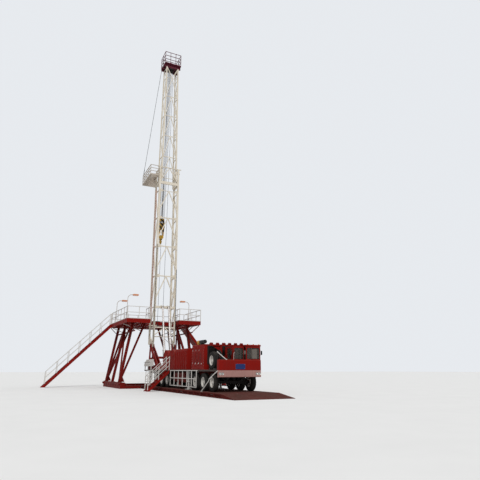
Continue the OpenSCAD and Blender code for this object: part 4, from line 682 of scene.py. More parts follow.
bm = bmesh.new()
drumX, drumZ = f["drum"]
sheaveLeave, drumTop = mastFoot + Vector((0.2, 0.03, -0.155)), Vector((drumX - 0.22, 0.08, drumZ + 0.325))
addPipe(bm, [mastFoot + Vector((0.02, 0.0, -0.02))] + straight(sheaveLeave, drumTop, 14), f["radius"], 0, 6)
drumLine = finishPiece("fast_line_to_drum", bm, None, "wireRope", 60)
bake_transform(drumLine)

drumRope = {"turns": 44, "half": 0.82, "core": 0.299, "flange": 0.84,
            "turn": ((0.303, 0.001), (0.322, 0.008), (0.331, 0.0186), (0.322, 0.029), (0.303, 0.0362))}
bm = bmesh.new()  # turns of rope on the drum
f = drumRope
outline = [(f["core"], -f["flange"])]
for i in range(f["turns"]):
    y = -f["half"] + i * 2 * f["half"] / f["turns"]
    outline += [(r, y + d) for r, d in f["turn"]]
addLathe(bm, outline + [(f["core"], f["flange"])], (drumX, 0, drumZ), (0, 1, 0), 0, 32)
finishPiece("rope_on_drum", bm, "drum", "wireRope", 60)

stayFacts = {"low": (-2.5, -2.03, 18.05), "high": (-0.4, -1.1, 31.1), "radius": 0.019}
bm = bmesh.new()
low, high = onMast(*stayFacts["low"]), onMast(*stayFacts["high"])
addPipe(bm, straight(low, high, 10), stayFacts["radius"], 0, 6)
along = (high - low).normalized()
addRod(bm, low + along * 0.25, low + along * 0.75, 0.03, 0, 8)
addRod(bm, low, low + along * 0.12, 0.034, 0, 8)
stay = finishPiece("board_stay", bm, None, "wireRope", 60)
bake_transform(stay)
print("ropes made")

# front of the carrier
lampFacts = {"x": 18.4915, "z": 1.31, "y": (1.175, 1.35), "lensRadius": 0.07}
bm = bmesh.new()
for side in (1, -1):
    for y in lampFacts["y"]:
        spot = (lampFacts["x"], side * y, lampFacts["z"])
        r = lampFacts["lensRadius"]
        addLathe(bm, [(r, 0.003), (r * 0.9, 0.002), (0.0, 0.002), (0.0, 0.0), (r, 0.0)],
                 spot, (1, 0, 0), 2, 28)
        addLathe(bm, [(0.0, 0.019), (r * 0.35, 0.018), (r * 0.7, 0.014), (r * 0.95, 0.007), (r, 0.003),
                      (r, 0.0025), (0.0, 0.0025)], spot, (1, 0, 0), 0, 28)
        for k in range(-4, 5):  # flutes that stand on the lens
            h = math.sqrt(max(0.0, 1 - (k / 5) ** 2)) * r * 0.82
            d = 0.0185 - 0.012 * (k / 5) ** 2
            addBlock(bm, (spot[0] + d - 0.008, spot[1] + k * r / 5 - 0.002, spot[2] - h),
                     (spot[0] + d + 0.0015, spot[1] + k * r / 5 + 0.002, spot[2] + h), 0, 0)
        addLathe(bm, [(r - 0.001, 0.001), (r - 0.001, 0.014), (r + 0.006, 0.019), (r + 0.013, 0.019),
                      (r + 0.018, 0.012), (r + 0.018, 0.001)], spot, (1, 0, 0), 1, 28)
finishPiece("head_lamps", bm, "rig", "lensGlass bareSteel lampBowl")

plateFacts = {"x": 18.5, "y": (-0.315, 0.345), "z": (1.57, 1.885), "thick": 0.008}
bm = bmesh.new()
f = plateFacts
addBlock(bm, (f["x"] - 0.004, f["y"][0], f["z"][0]), (f["x"] + f["thick"], f["y"][1], f["z"][1]), 0, 0.003)
for y in (f["y"][0] + 0.03, f["y"][1] - 0.03):
    addBolts(bm, [(f["x"] + f["thick"], y, z) for z in (f["z"][0] + 0.03, f["z"][1] - 0.03)], (1, 0, 0),
             0.01, 0.005, 1)
finishPiece("nose_blue_plate", bm, "rig", "bluePaint bareSteel")

sealFacts = {"panes": (((18.428, 0.5, 2.19), 0.88, 0.65), ((18.128, -0.23, 2.19), 0.61, 0.65)),
             "corner": 0.06, "radius": 0.014, "wipers": ((18.452, 0.82, 2.2), (18.152, 0.085, 2.2))}
bm = bmesh.new()
f = sealFacts
for (x, y, z), wide, tall in f["panes"]:
    c, path = f["corner"], []
    for cy, cz, start in ((y + wide - c, z + tall - c, 0), (y + c, z + tall - c, 90), (y + c, z + c, 180),
                          (y + wide - c, z + c, 270)):
        path += [Vector((x + f["radius"], cy + c * math.cos(a), cz + c * math.sin(a)))
                 for a in (math.radians(start + t) for t in (0, 30, 60, 90))]
    addPipe(bm, path + [path[0] + Vector((0, 0, 0.0001))], f["radius"], 0, 8)
for x, y, z in f["wipers"]:  # arm, blade and pivot
    addRod(bm, (x + 0.012, y, z - 0.045), (x + 0.03, y + 0.02, z + 0.3), 0.007, 0, 6)
    addBlock(bm, (x + 0.012, y + 0.01, z + 0.06), (x + 0.024, y + 0.024, z + 0.52), 0, 0.002)
    addLathe(bm, [(0.0, 0.03), (0.014, 0.028), (0.02, 0.018), (0.022, 0.0), (0.0, 0.0)],
             (x - 0.002, y, z - 0.045), (1, 0, 0), 0, 12)
finishPiece("window_seals_and_wipers", bm, "rig", "rubberBlack", 50)

mirrorFacts = {"left": (18.36, 1.47, 2.56), "right": (18.08, -0.32, 2.56)}
bm = bmesh.new()
for side, (x, y, z) in ((1, mirrorFacts["left"]), (-1, mirrorFacts["right"])):
    head = Vector((x, y + side * 0.11, z))
    addBlock(bm, head + Vector((-0.022, -0.055, -0.125)), head + Vector((0.022, 0.055, 0.125)), 0, 0.018)
    addBlock(bm, head + Vector((-0.025, -0.045, -0.11)), head + Vector((-0.019, 0.045, 0.11)), 1, 0.002)
    for dz in (-0.09, 0.09):
        addPipe(bm, [(x - 0.02, y - side * 0.04, z + dz * 1.5), (x + 0.005, y + side * 0.04, z + dz * 1.5),
                     (x + 0.005, y + side * 0.1, z + dz)], 0.008, 0, 8)
finishPiece("cab_mirrors", bm, "rig", "rubberBlack bareSteel")

markerFacts = {"x": 18.44, "y": (0.55, 0.95, 1.35), "roof": 3.036}
bm = bmesh.new()
for y in markerFacts["y"]:
    spot = (markerFacts["x"], y, markerFacts["roof"])
    addLathe(bm, [(0.0, 0.05), (0.02, 0.048), (0.036, 0.034), (0.04, 0.012), (0.0, 0.012)],
             spot, (0, 0, 1), 0, 14)
    addLathe(bm, [(0.0, 0.014), (0.048, 0.014), (0.05, 0.0), (0.0, 0.0)], spot, (0, 0, 1), 1, 14)
finishPiece("roof_markers", bm, "rig", "amberGlow rubberBlack")

entryFacts = {"rails": ((17.02, 1.455), (18.31, -0.29)), "railZ": (1.75, 2.55), "standOff": 0.06,
              "treads": (0.62, 0.98, 1.32), "treadX": (17.3, 17.86), "treadY": (1.2, 1.44),
              "hangers": (17.3, 17.84)}
bm = bmesh.new()  # grab rails, and the steps under the door
f = entryFacts
z0, z1 = f["railZ"]
for x, y in f["rails"]:
    away = y + math.copysign(f["standOff"], y)
    addPipe(bm, [(x, y, z0), (x, away, z0 + 0.02), (x, away, z1 - 0.02), (x, y, z1)], 0.013, 0, 8)
for z in f["treads"]:
    addBlock(bm, (f["treadX"][0], f["treadY"][0], z), (f["treadX"][1], f["treadY"][1], z + 0.03), 1, 0.004)
for x in f["hangers"]:
    addBlock(bm, (x, 1.36, f["treads"][0]), (x + 0.03, 1.42, 1.5), 1, 0.004)
finishPiece("cab_rails_and_steps", bm, "rig", "whitePaint darkRed")
print("front details made")

# floor: wing struts, guard post, plate seams and their bolts
strutFacts = {"radius": 0.032, "rods": (((-4.05, -3.42, 5.63), (-4.05, -1.68, 4.95)),
                                        ((0.95, -3.42, 5.63), (1.42, -1.72, 4.95)),
                                        ((1.13, 3.4, 5.64), (1.13, 2.09, 5.1)),
                                        ((-4.05, 3.42, 5.63), (-4.05, 1.68, 4.95)))}
bm = bmesh.new()
for low, high in strutFacts["rods"]:
    addRod(bm, low, high, strutFacts["radius"], 0, 10)
    for spot in (low, high):  # end plates
        addLathe(bm, mirrored([(0.0, -0.02), (0.055, -0.02), (0.06, -0.012)]),
                 spot, (0, 0, 1), 0, 12)
addLathe(bm, [(0.0, 0.4), (0.03, 0.395), (0.04, 0.375), (0.04, 0.03), (0.075, 0.02), (0.08, 0.0), (0.0, 0.0)],
         (2.75, -3.4, 5.95), (0, 0, 1), 0, 16)
finishPiece("wing_struts_and_post", bm, "rig", "whitePaint")

floorFacts = {"z": 5.95, "seamsX": (-3.4, -2.2, -1.0, 0.2), "seamsY": (-2.4, -1.2, 1.2, 2.4), "half": 3.5,
              "rear": -4.36, "front": 0.72, "tableX": -1.05}
bm = bmesh.new()
f = floorFacts
for x in f["seamsX"]:
    for y0, y1 in ((-f["half"], -1.22), (1.22, f["half"])):
        addBlock(bm, (x - 0.012, y0, f["z"] - 0.002), (x + 0.012, y1, f["z"] + 0.004), 0, 0.002)
for y in f["seamsY"]:
    end = f["tableX"] if abs(y) < 1.3 else f["front"]
    addBlock(bm, (f["rear"], y - 0.012, f["z"] - 0.002), (end, y + 0.012, f["z"] + 0.004), 0, 0.002)
for x in f["seamsX"]:
    for y in (-2.9, -1.8, 1.8, 2.9):
        addBolts(bm, [(x + d, y, f["z"]) for d in (-0.05, 0.05)], (0, 0, 1), 0.014, 0.008, 0)
finishPiece("floor_plate_seams", bm, "rig", "deckPlate")

# front rods and the gear between cab and right wing
frontRods = {"radius": 0.026, "guide": ((18.35, -1.42, 1.5), (18.22, -1.66, 1.26), (18.08, -1.87, 1.02),
                                        (17.98, -1.87, 0.9), (16.8, -1.86, 0.262)),
             "stay": ((18.42, -0.9, 2.125), (17.66, -1.17, 2.6))}
bm = bmesh.new()
addPipe(bm, frontRods["guide"], frontRods["radius"], 0, 10)
addLathe(bm, [(0.0, 0.03), (0.04, 0.026), (0.075, 0.008), (0.075, 0.0), (0.0, 0.0)],
         (16.8, -1.82, 0.246), (0, 0, 1), 0, 16)
addRod(bm, *frontRods["stay"], frontRods["radius"], 0, 10)
for spot in frontRods["stay"]:
    addLathe(bm, mirrored([(0.0, -0.03), (0.036, -0.03), (0.042, -0.02)]), spot, (0, 1, 0), 0, 14)
addBlock(bm, (17.63, -1.2, 1.55), (17.69, -1.14, 2.6), 1, 0.006)
addBlock(bm, (17.56, -1.27, 1.55), (17.76, -1.07, 1.575), 1, 0.004)
finishPiece("front_guide_rods", bm, "rig", "whitePaint blackPaint")

gearFacts = {"battery": ((17.62, -1.02, 1.55), (18.12, -0.5, 1.95)),
             "tank": (16.62, -0.86, 1.78), "tankRadius": 0.2}
bm = bmesh.new()
low, high = gearFacts["battery"]
addBlock(bm, low, high, 0, 0.02)
lid = 0.012  # how far the battery box's lid stands out
addBlock(bm, (low[0] - lid, low[1] - lid, high[2] - 0.07),
         (high[0] + lid, high[1] + lid, high[2] + 0.02), 0, lid)
for x in (17.74, 18.0):
    addRod(bm, (x, -1.025, 1.62), (x, -1.025, 1.99), 0.008, 1, 6)
    addBlock(bm, (x - 0.02, -1.03, 1.97), (x + 0.02, -0.49, 1.985), 1, 0.003)
x, y, z = gearFacts["tank"]
r = gearFacts["tankRadius"]
addLathe(bm, mirrored([(0.0, -0.36), (r * 0.55, -0.345), (r * 0.88, -0.31), (r, -0.26), (r, -0.14),
                       (r + 0.006, -0.135), (r + 0.006, -0.1), (r, -0.095)]), (x, y, z), (0, 1, 0), 2, 28)
for dy in (-0.22, 0.22):
    addBlock(bm, (x - 0.16, y + dy - 0.03, 1.55), (x + 0.16, y + dy + 0.03, z - 0.12), 0, 0.006)
for k in range(2):  # ribbed air ducts from the radiator's side
    path = [Vector(p) for p in ((16.05, -0.62 - 0.24 * k, 2.86 - 0.3 * k),
                                (16.3, -0.6 - 0.2 * k, 2.84 - 0.3 * k),
                                (16.62, -0.52 - 0.1 * k, 2.66 - 0.28 * k), (16.86, -0.48, 2.36 - 0.2 * k),
                                (17.0, -0.5, 2.05 - 0.1 * k), (17.06, -0.55 - 0.2 * k, 1.8),
                                (17.08, -0.58 - 0.2 * k, 1.56))]
    addPipe(bm, path, 0.058 - 0.014 * k, 0, 14)
    for a, b in zip(path, path[1:]):
        for t in (0.0, 0.25, 0.5, 0.75):
            p = a.lerp(b, t)
            addRod(bm, p, p + (b - a).normalized() * 0.022, 0.068 - 0.014 * k, 0, 14)
finishPiece("front_engine_gear", bm, "rig", "rubberBlack bareSteel darkRed")

# seats in the cab: crowned cushions with welts and sewn channels
seatFacts = {"seatX": 17.2, "seatY": (0.72, -0.12), "low": 1.788, "pad": (0.53, 0.47, 0.135),
             "backHeight": 0.66, "leanDegrees": 8.9, "channels": (-0.36, 0.36)}


def addCushion(bm, centre, size, turn, channels):
    mark = len(bm.verts)
    made = bmesh.ops.create_cube(bm, size=2.0)["verts"]
    edges = list({e for v in made for e in v.link_edges})
    bmesh.ops.subdivide_edges(bm, edges=edges, cuts=11, use_grid_fill=True)
    bm.verts.ensure_lookup_table()
    verts = bm.verts[mark:]
    half = Vector(size) / 2
    for v in verts:
        u, w, t = v.co
        norm = (abs(u) ** 7 + abs(w) ** 7 + abs(t) ** 5) ** (1 / 7)
        swell = (1 - u * u) * (1 - w * w)
        sew = sum(math.exp(-((w - line) / 0.045) ** 2) for line in channels) * (1 - u ** 8)
        v.co = Vector((u / norm * (1 - 0.035 * (1 - w * w) * abs(u)),
                       w / norm * (1 - 0.03 * (1 - u * u) * abs(w)),
                       t / norm * (1 + (0.3 * swell - 0.16 * sew if t > 0 else 0))))
        v.co = Vector((v.co.x * half.x, v.co.y * half.y, v.co.z * half.z))
    bmesh.ops.transform(bm, matrix=Matrix.Translation(Vector(centre)) @ turn, verts=verts)
    rim = []
    for i in range(33):
        a = math.tau * i / 32
        u = math.copysign(abs(math.cos(a)) ** 0.32, math.cos(a))
        w = math.copysign(abs(math.sin(a)) ** 0.32, math.sin(a))
        rim.append(Vector(centre) + turn @ Vector((u * half.x * 0.985, w * half.y * 0.985, half.z * 0.62)))
    addPipe(bm, rim, 0.006, 0, 6)


f = seatFacts
_, wide, thick = f["pad"]
lean = Matrix.Rotation(math.radians(90 - f["leanDegrees"]), 4, "Y")
for i, y in enumerate(f["seatY"]):
    middle = y + 0.23
    for part, centre, size, turn in (
            ("pad", (f["seatX"] + 0.26, middle, f["low"] + thick / 2 - 0.003), f["pad"], Matrix.Identity(4)),
            ("back", (f["seatX"] - 0.006, middle, 2.175), (f["backHeight"], wide + 0.006, 0.15), lean)):
        bm = bmesh.new()
        addCushion(bm, centre, size, turn, f["channels"])
        cushion = finishPiece("seat_%s_%d" % (part, i + 1), bm, "rig", "seatCloth", 60)
print("seats made")

# engine hood, radiator and engine
hoodFacts = {"x": 13.8, "length": 2.18, "half": 1.39, "top": 3.15, "bays": 3, "pitch": 0.56}
bm = bmesh.new()
f = hoodFacts
for side in (1, -1):
    y = side * f["half"]
    for i in range(f["bays"]):
        x0 = f["x"] + 0.17 + i * f["pitch"]
        for k in range(8):  # a pressed hood over each louvre slot
            z = 2.05 + k * 0.09
            turn = Matrix.Translation((0, y, z + 0.05)) @ Matrix.Rotation(math.radians(side * 32), 4, "X")
            addBlock(bm, (x0 + 0.07, -0.004, -0.046), (x0 + 0.47, 0.004, 0.006), 0, 0, turn)
        for z in (1.8, 2.86):  # door frame rails and hinges
            addBlock(bm, (x0 + 0.01, y - side * 0.004, z), (x0 + 0.53, y + side * 0.012, z + 0.03), 0, 0.003)
        for z in (1.92, 2.74):
            addRod(bm, (x0 + 0.02, y + side * 0.01, z), (x0 + 0.02, y + side * 0.01, z + 0.1), 0.012, 1, 8)
        spot = Vector((x0 + 0.49, y, 1.93))
        addLathe(bm, [(0.0, 0.022), (0.016, 0.02), (0.03, 0.012), (0.034, 0.0), (0.0, 0.0)],
                 spot, (0, side, 0), 1, 14)
        addBlock(bm, spot + Vector((-0.008, 0, -0.05)), spot + Vector((0.008, side * 0.036, 0.012)), 1, 0.003)
    for x in (f["x"] + 0.03, f["x"] + f["length"] - 0.03):
        addBolts(bm, [(x, y, 1.65 + k * 0.16) for k in range(9)], (0, side, 0), 0.011, 0.008, 1)
for x in (f["x"] + 0.12, f["x"] + 2.06):  # lifting eyes
    for y in (-0.95, 0.95):
        addLathe(bm, [(0.026, -0.008), (0.05, -0.008), (0.05, 0.008), (0.026, 0.008), (0.026, -0.008)],
                 (x, y, f["top"] + 0.042), (0, 1, 0), 1, 18)
        addBlock(bm, (x - 0.045, y - 0.03, f["top"] - 0.004),
                 (x + 0.045, y + 0.03, f["top"] + 0.012), 1, 0.003)
x, y = f["x"] + 1.05, 0.62  # exhaust stub with its flap
addLathe(bm, [(0.07, 0.0), (0.1, 0.0), (0.1, 0.012), (0.066, 0.014), (0.066, 0.115), (0.072, 0.12),
              (0.06, 0.122), (0.056, 0.11), (0.056, 0.0)], (x, y, f["top"]), (0, 0, 1), 2, 28)
addBlock(bm, (-0.075, -0.07, 0.0), (0.075, 0.07, 0.006), 2, 0.002,
         Matrix.Translation((x, y, f["top"] + 0.135)) @ Matrix.Rotation(math.radians(14), 4, "Y"))
finishPiece("hood_fittings", bm, "rig", "redPaint bareSteel darkSteel")

radFacts = {"x": 16.005, "half": 1.09, "z": (1.96, 3.0)}
bm = bmesh.new()
f = radFacts
for k in range(46):  # fine upright fins between the slats
    y = -f["half"] + (k + 0.5) * 2 * f["half"] / 46
    addBlock(bm, (f["x"] - 0.085, y - 0.003, f["z"][0]), (f["x"] - 0.032, y + 0.003, f["z"][1]), 0, 0)
for y in (-0.55, 0.55):  # fan rings seen through the core
    for r in (0.16, 0.28, 0.4):
        addLathe(bm, [(r, -0.006), (r + 0.008, -0.006), (r + 0.008, 0.006), (r, 0.006), (r, -0.006)],
                 (f["x"] + 0.04, y, 2.48), (1, 0, 0), 1, 32)
    for k in range(8):
        a = math.tau * k / 8
        addRod(bm, (f["x"] + 0.04, y + 0.05 * math.cos(a), 2.48 + 0.05 * math.sin(a)),
               (f["x"] + 0.04, y + 0.41 * math.cos(a), 2.48 + 0.41 * math.sin(a)), 0.005, 1, 6)
    addRod(bm, (f["x"] + 0.026, y, 2.48), (f["x"] + 0.048, y, 2.48), 0.06, 1, 20)
addLathe(bm, [(0.0, 0.05), (0.045, 0.048), (0.055, 0.035), (0.055, 0.0), (0.0, 0.0)],
         (f["x"] - 0.1, 0.75, 3.055), (0, 0, 1), 1, 18)
finishPiece("radiator_core_and_fan_guard", bm, "rig", "darkSteel blackPaint")
print("hood made")


# mast: service pipes, with black hoses along the near chords' inner sides as painted shade; gussets, landing
# pins
def onMastTurn(x, y, z):
    return Matrix.Translation(onMast(x, y, z)) @ mastTurn


mastFacts = {"pipeX": 0.395, "pipes": ((-0.945, 0.032, 9.6, 2), (-1.025, 0.022, 9.6, 0),
                                       (0.945, 0.032, 10.8, 2), (1.02, 0.022, 7.2, 0)),
             "couplings": (3.1, 6.1, 9.1), "clips": (0.8, 1.5), "chordFace": 0.345,
             "bays": (6.49, 9.48, 12.47, 15.46), "lugs": (0.55, 3.5),
             "landings": (-1.02, 0.275), "landingZ": 17.7}
bm = bmesh.new()
f = mastFacts
# the cream pipes (finish 2) are service pipes; the black hoses (finish 0) beside the near chords are dark
# strips that paint the shade on the chords' inner faces
for y, r, top, finish in f["pipes"]:
    addPipe(bm, [onMast(f["pipeX"], y, 0.35 + k * (top - 0.35) / 6) for k in range(7)], r, finish, 10)
    first, pitch = f["clips"]
    for k in range(int((top - first) / pitch) + 1):
        z = first + k * pitch
        addBlock(bm, (f["chordFace"] - f["pipeX"] - 0.004, -0.018, -0.025), (-r * 0.4, 0.018, 0.025), 1,
                 0.002, onMastTurn(f["pipeX"], y, z))
        addRod(bm, onMast(f["pipeX"], y, z - 0.02), onMast(f["pipeX"], y, z + 0.02), r + 0.006, 1, 12)
for y in (-0.945, 0.945):
    for z in f["couplings"]:
        addRod(bm, onMast(f["pipeX"], y, z), onMast(f["pipeX"], y, z + 0.09), 0.045, 1, 6)
finishPiece("mast_service_pipes_and_painted_shade", bm, "mast_lower", "rubberBlack bareSteel creamPaint")

outward = onMast(1, 0, 0) - onMast(0, 0, 0)
bm = bmesh.new()
for z in f["bays"]:  # gussets
    for side in (1, -1):
        addBlock(bm, (0.29, side * 0.63, -0.15), (0.304, side * 0.925, 0.15), 0, 0.004, onMastTurn(0, 0, z))
        for dy in (0.68, 0.76, 0.84):
            addBolts(bm, [onMast(0.304, side * dy, z + dz) for dz in (-0.09, 0.09)],
                     outward, 0.014, 0.012, 1)
for y in (-0.415, -0.165, 0.165, 0.415):  # pin heads on the cylinders' lug plates
    out = 1 if y in (-0.165, 0.415) else -1
    addLathe(bm, [(0.0, 0.018), (0.05, 0.016), (0.058, 0.0), (0.0, 0.0)],
             onMast(f["lugs"][0], y, f["lugs"][1]), (0, out, 0), 1, 20)
for x in f["landings"]:  # landing blocks and pins where the upper section rests
    for side in (1, -1):
        addBlock(bm, (-0.1, side * 1.045, -0.26), (0.1, side * 1.075, 0.1), 0, 0.008,
                 onMastTurn(x, 0, f["landingZ"]))
        addRod(bm, *(onMast(x, side * y, f["landingZ"] - 0.08) for y in (1.07, 1.13)), 0.045, 1, 14)
        addBolts(bm, [onMast(x + dx, side * 1.075, f["landingZ"] - 0.2 + dz) for dx in (-0.06, 0.06)
                      for dz in (0.0, 0.24)], (0, side, 0), 0.015, 0.012, 1)
finishPiece("mast_gussets_and_pins", bm, "mast_lower", "creamPaint bareSteel")

crownFacts = {"boltsX": (-1.15, -0.9, -0.65, -0.4, -0.15, 0.1, 0.3), "deck": 31.33, "half": 0.95,
              "pin": (-0.79, 0.618, 31.5), "guardsX": (-0.5, -1.06), "guardZ": 31.83}
bm = bmesh.new()  # crown: deck bolts, pin caps and the rods that keep the ropes in the sheaves
f = crownFacts
for side in (1, -1):
    for x in f["boltsX"]:
        addBolts(bm, [onMast(x, side * f["half"], f["deck"] + dz) for dz in (0.13, 0.17)], (0, side, 0),
                 0.014, 0.012, 1)
    x, y, z = f["pin"]
    cap = onMast(x, side * y, z)
    addLathe(bm, [(0.0, 0.03), (0.07, 0.028), (0.085, 0.018), (0.09, 0.0), (0.0, 0.0)],
             cap + Vector((0, side * 0.008, 0)), (0, side, 0), 1, 20)
    for k in range(4):
        a = math.tau * (k + 0.5) / 4
        addBolts(bm, [cap + Vector((0.062 * math.cos(a), side * 0.026, 0.062 * math.sin(a)))],
                 (0, side, 0), 0.01, 0.008, 1)
for x in f["guardsX"]:
    addRod(bm, onMast(x, -0.345, f["guardZ"]), onMast(x, 0.345, f["guardZ"]), 0.018, 1, 10)
finishPiece("crown_fittings", bm, "mast_upper", "crownPaint darkSteel")

boardFacts = {"z": 17.03, "x0": -2.55, "pitch": (3.05 - 0.2) / 11, "fingers": 12, "lastX": 0.48,
              "hingesX": (-1.025, 0.275), "hingeZ": 16.96}
bm = bmesh.new()  # racking board: winch box, finger tips and hinge bolts
f = boardFacts
place = onMastTurn(0, 0, f["z"])
addBlock(bm, (-0.62, -1.44, -0.004), (-0.24, -1.2, 0.42), 0, 0.02, place)
addBlock(bm, (-0.64, -1.46, 0.4), (-0.22, -1.18, 0.43), 0, 0.008, place)
addRod(bm, onMast(-0.43, -1.46, f["z"] + 0.22), onMast(-0.43, -1.52, f["z"] + 0.22), 0.07, 1, 16)
for i in range(f["fingers"]):
    x = f["x0"] + 0.065 + i * f["pitch"]
    if x < f["lastX"]:
        addBlock(bm, (x - 0.028, -1.9, -0.002), (x + 0.028, -1.86, 0.035), 2, 0.004, place)
        addBlock(bm, (x - 0.028, -1.34, -0.002), (x + 0.028, -1.3, 0.02), 2, 0.003, place)
for x in f["hingesX"]:
    addRod(bm, onMast(x - 0.086, -1.12, f["hingeZ"]), onMast(x - 0.071, -1.12, f["hingeZ"]), 0.036, 1, 6)
finishPiece("board_fittings", bm, "board", "redPaint darkSteel boardPaint")
print("mast details made")

# travelling block: side plate bolts, sheave pin, guard bars, hook keeper
blockFacts = {"hook": 13.9, "pin": 15.75, "cheek": 0.23, "ring": 0.385, "ringBolts": 12,
              "boltRows": ((0.1, 14.58), (0.12, 14.72), (0.08, 16.5))}
bm = bmesh.new()
f = blockFacts
z0, pin = f["hook"], f["pin"]
for side in (1, -1):
    face = side * f["cheek"]
    addLathe(bm, [(0.0, 0.032), (0.06, 0.03), (0.075, 0.02), (0.08, 0.0), (0.0, 0.0)],
             (0, side * 0.248, pin), (0, side, 0), 1, 20)
    addBolts(bm, boltRing((0, face, pin), f["ring"], f["ringBolts"]), (0, side, 0), 0.016, 0.014, 1)
    addBolts(bm, [(way * x, face, z) for x, z in f["boltRows"] for way in (-1, 1)],
             (0, side, 0), 0.018, 0.016, 1)
for x in (-0.33, 0.33):
    addRod(bm, (x, -0.2, pin - 0.46), (x * 0.98, 0.2, pin - 0.46), 0.02, 1, 10)
addLathe(bm, [(0.152, 0.0), (0.165, 0.004), (0.165, 0.036), (0.152, 0.04)],
         (0, 0, z0 + 0.44), (0, 0, 1), 1, 24)
addBlock(bm, (-0.045, -0.015, -0.11), (0.045, 0.015, 0.11), 1, 0.006,
         Matrix.Translation((0.185, 0, z0 + 0.4)) @ Matrix.Rotation(math.radians(24), 4, "Y"))
finishPiece("block_fittings", bm, "block", "yellowPaint darkSteel")

# drawworks: bolt rings, seams, access lids and the brake lever
coverFacts = {"centres": (8.0, 9.49), "z": 2.3, "radius": 0.705, "half": 1.39, "ringBolts": 20,
              "sillX": 10.34, "lids": (10.75, 11.55, 12.35), "lidTop": 3.034}
bm = bmesh.new()
f = coverFacts
for side in (1, -1):
    for x in f["centres"]:
        addBolts(bm, boltRing((x, side * f["half"], f["z"]), f["radius"], f["ringBolts"]),
                 (0, side, 0), 0.014, 0.012)
        addLathe(bm, [(0.722, -0.002), (0.745, -0.002), (0.745, 0.01), (0.722, 0.01)],
                 (x, side * f["half"], f["z"]), (0, side, 0), 1, 48)
    addBolts(bm, boltRing((f["centres"][1], side * 1.411, f["z"]), 0.115, 6, 0.5), (0, side, 0), 0.012, 0.01)
    addBolts(bm, [(f["sillX"] + k * 0.2, side * f["half"], 1.6) for k in range(13)],
             (0, side, 0), 0.012, 0.01)
    for x in (10.3, 12.78):
        addBolts(bm, [(x, side * f["half"], 1.75 + k * 0.22) for k in range(5)], (0, side, 0), 0.012, 0.01, 0)
for x in f["lids"]:  # on the ribbed cover
    addBlock(bm, (x - 0.26, -0.42, 3.016), (x + 0.26, 0.42, f["lidTop"]), 1, 0.006)
    addBolts(bm, [(x + dx, dy, f["lidTop"]) for dx in (-0.22, 0.22) for dy in (-0.37, 0.0, 0.37)],
             (0, 0, 1), 0.013, 0.01, 0)
    addPipe(bm, [(x - 0.09, 0.2, 3.03), (x - 0.08, 0.2, 3.085), (x + 0.08, 0.2, 3.085),
                 (x + 0.09, 0.2, 3.03)], 0.009, 0, 8)
# brake lever and its quadrant
addPipe(bm, [(7.12, -1.1, 1.55), (7.1, -1.1, 2.1), (6.96, -1.1, 2.62)], 0.024, 0, 10)
addRod(bm, (6.985, -1.1, 2.55), (6.93, -1.1, 2.74), 0.034, 2, 12)
addBlock(bm, (7.02, -1.2, 1.545), (7.22, -1.0, 1.66), 0, 0.01)
finishPiece("drawworks_fittings", bm, "rig", "darkSteel redPaint rubberBlack")

caseFacts = {"ribX": 13.02, "ribPitch": 0.19, "half": 0.515, "x": 13.325, "z": 2.1, "shaftZ": 2.05}
bm = bmesh.new()  # clutch and gear case between cover and hood: ribs, end covers, shafts, filler and lines
f = caseFacts
for k in range(4):
    x = f["ribX"] + k * f["ribPitch"]
    addBlock(bm, (x, -f["half"], 1.6), (x + 0.025, f["half"], 2.615), 0, 0.008)
for side in (1, -1):
    addLathe(bm, [(0.0, 0.06), (0.18, 0.055), (0.2, 0.04), (0.24, 0.03), (0.25, 0.0), (0.0, 0.0)],
             (f["x"], side * f["half"], f["z"]), (0, side, 0), 0, 28)
    addBolts(bm, boltRing((f["x"], side * 0.547, f["z"]), 0.22, 8), (0, side, 0), 0.012, 0.01, 1)
for x in (12.8, 13.68):
    addRod(bm, (x, 0, f["shaftZ"]), (x + 0.16, 0, f["shaftZ"]), 0.11, 1, 18)
addLathe(bm, [(0.0, 0.1), (0.035, 0.098), (0.042, 0.085), (0.042, 0.06), (0.028, 0.055), (0.028, 0.0),
              (0.0, 0.0)], (13.5, 0.3, 2.6), (0, 0, 1), 1, 16)
for y in (-0.34, -0.26):
    addPipe(bm, [(12.95, y, 2.3), (12.9, y, 2.66), (13.3, y, 2.7), (13.76, y, 2.7), (13.81, y, 2.6)],
            0.014, 1, 8)
finishPiece("gear_case_details", bm, "rig", "blackPaint darkSteel")

baseFacts = {"x": 2.55, "z": 3.6, "plates": ((1.15, 1), (0.89, -1)), "ring": 0.155,
             "feet": (2.4, 3.0, 3.6, 4.2, 4.8, 5.4), "footTop": 1.572}
bm = bmesh.new()  # mast base: pin caps, rings of bolts and the feet's clamps
f = baseFacts
for side in (1, -1):
    addLathe(bm, [(0.0, 0.034), (0.085, 0.03), (0.095, 0.015), (0.095, 0.0), (0.0, 0.0)],
             (f["x"], side * 1.188, f["z"]), (0, side, 0), 1, 24)
    for y, out in f["plates"]:
        addBolts(bm, boltRing((f["x"], side * y, f["z"]), f["ring"], 8), (0, side * out, 0), 0.014, 0.012, 1)
    for x in f["feet"]:
        addBlock(bm, (x - 0.05, side * 1.14, 1.545), (x + 0.05, side * 1.24, f["footTop"]), 0, 0.004)
        addBolts(bm, [(x + d, side * 1.2, f["footTop"]) for d in (-0.028, 0.028)], (0, 0, 1), 0.012, 0.012, 1)
finishPiece("mast_base_fittings", bm, "rig", "redPaint darkSteel")
print("drawworks details made")

# driller's panel: gauges and levers on the sloping face
panelFacts = {"low": (-1.54, 2.05), "high": (-1.36, 2.42), "gaugeX": (2.52, 0.29, 6),
              "leverX": (2.48, 0.22, 8), "doorsX": (2.42, 3.29)}
bm = bmesh.new()
(y0, z0), (y1, z1) = panelFacts["low"], panelFacts["high"]
way = Vector((0, -(z1 - z0), y1 - y0)).normalized()


def onPanel(x, t):
    return Vector((x, y0 + (y1 - y0) * t, z0 + (z1 - z0) * t))


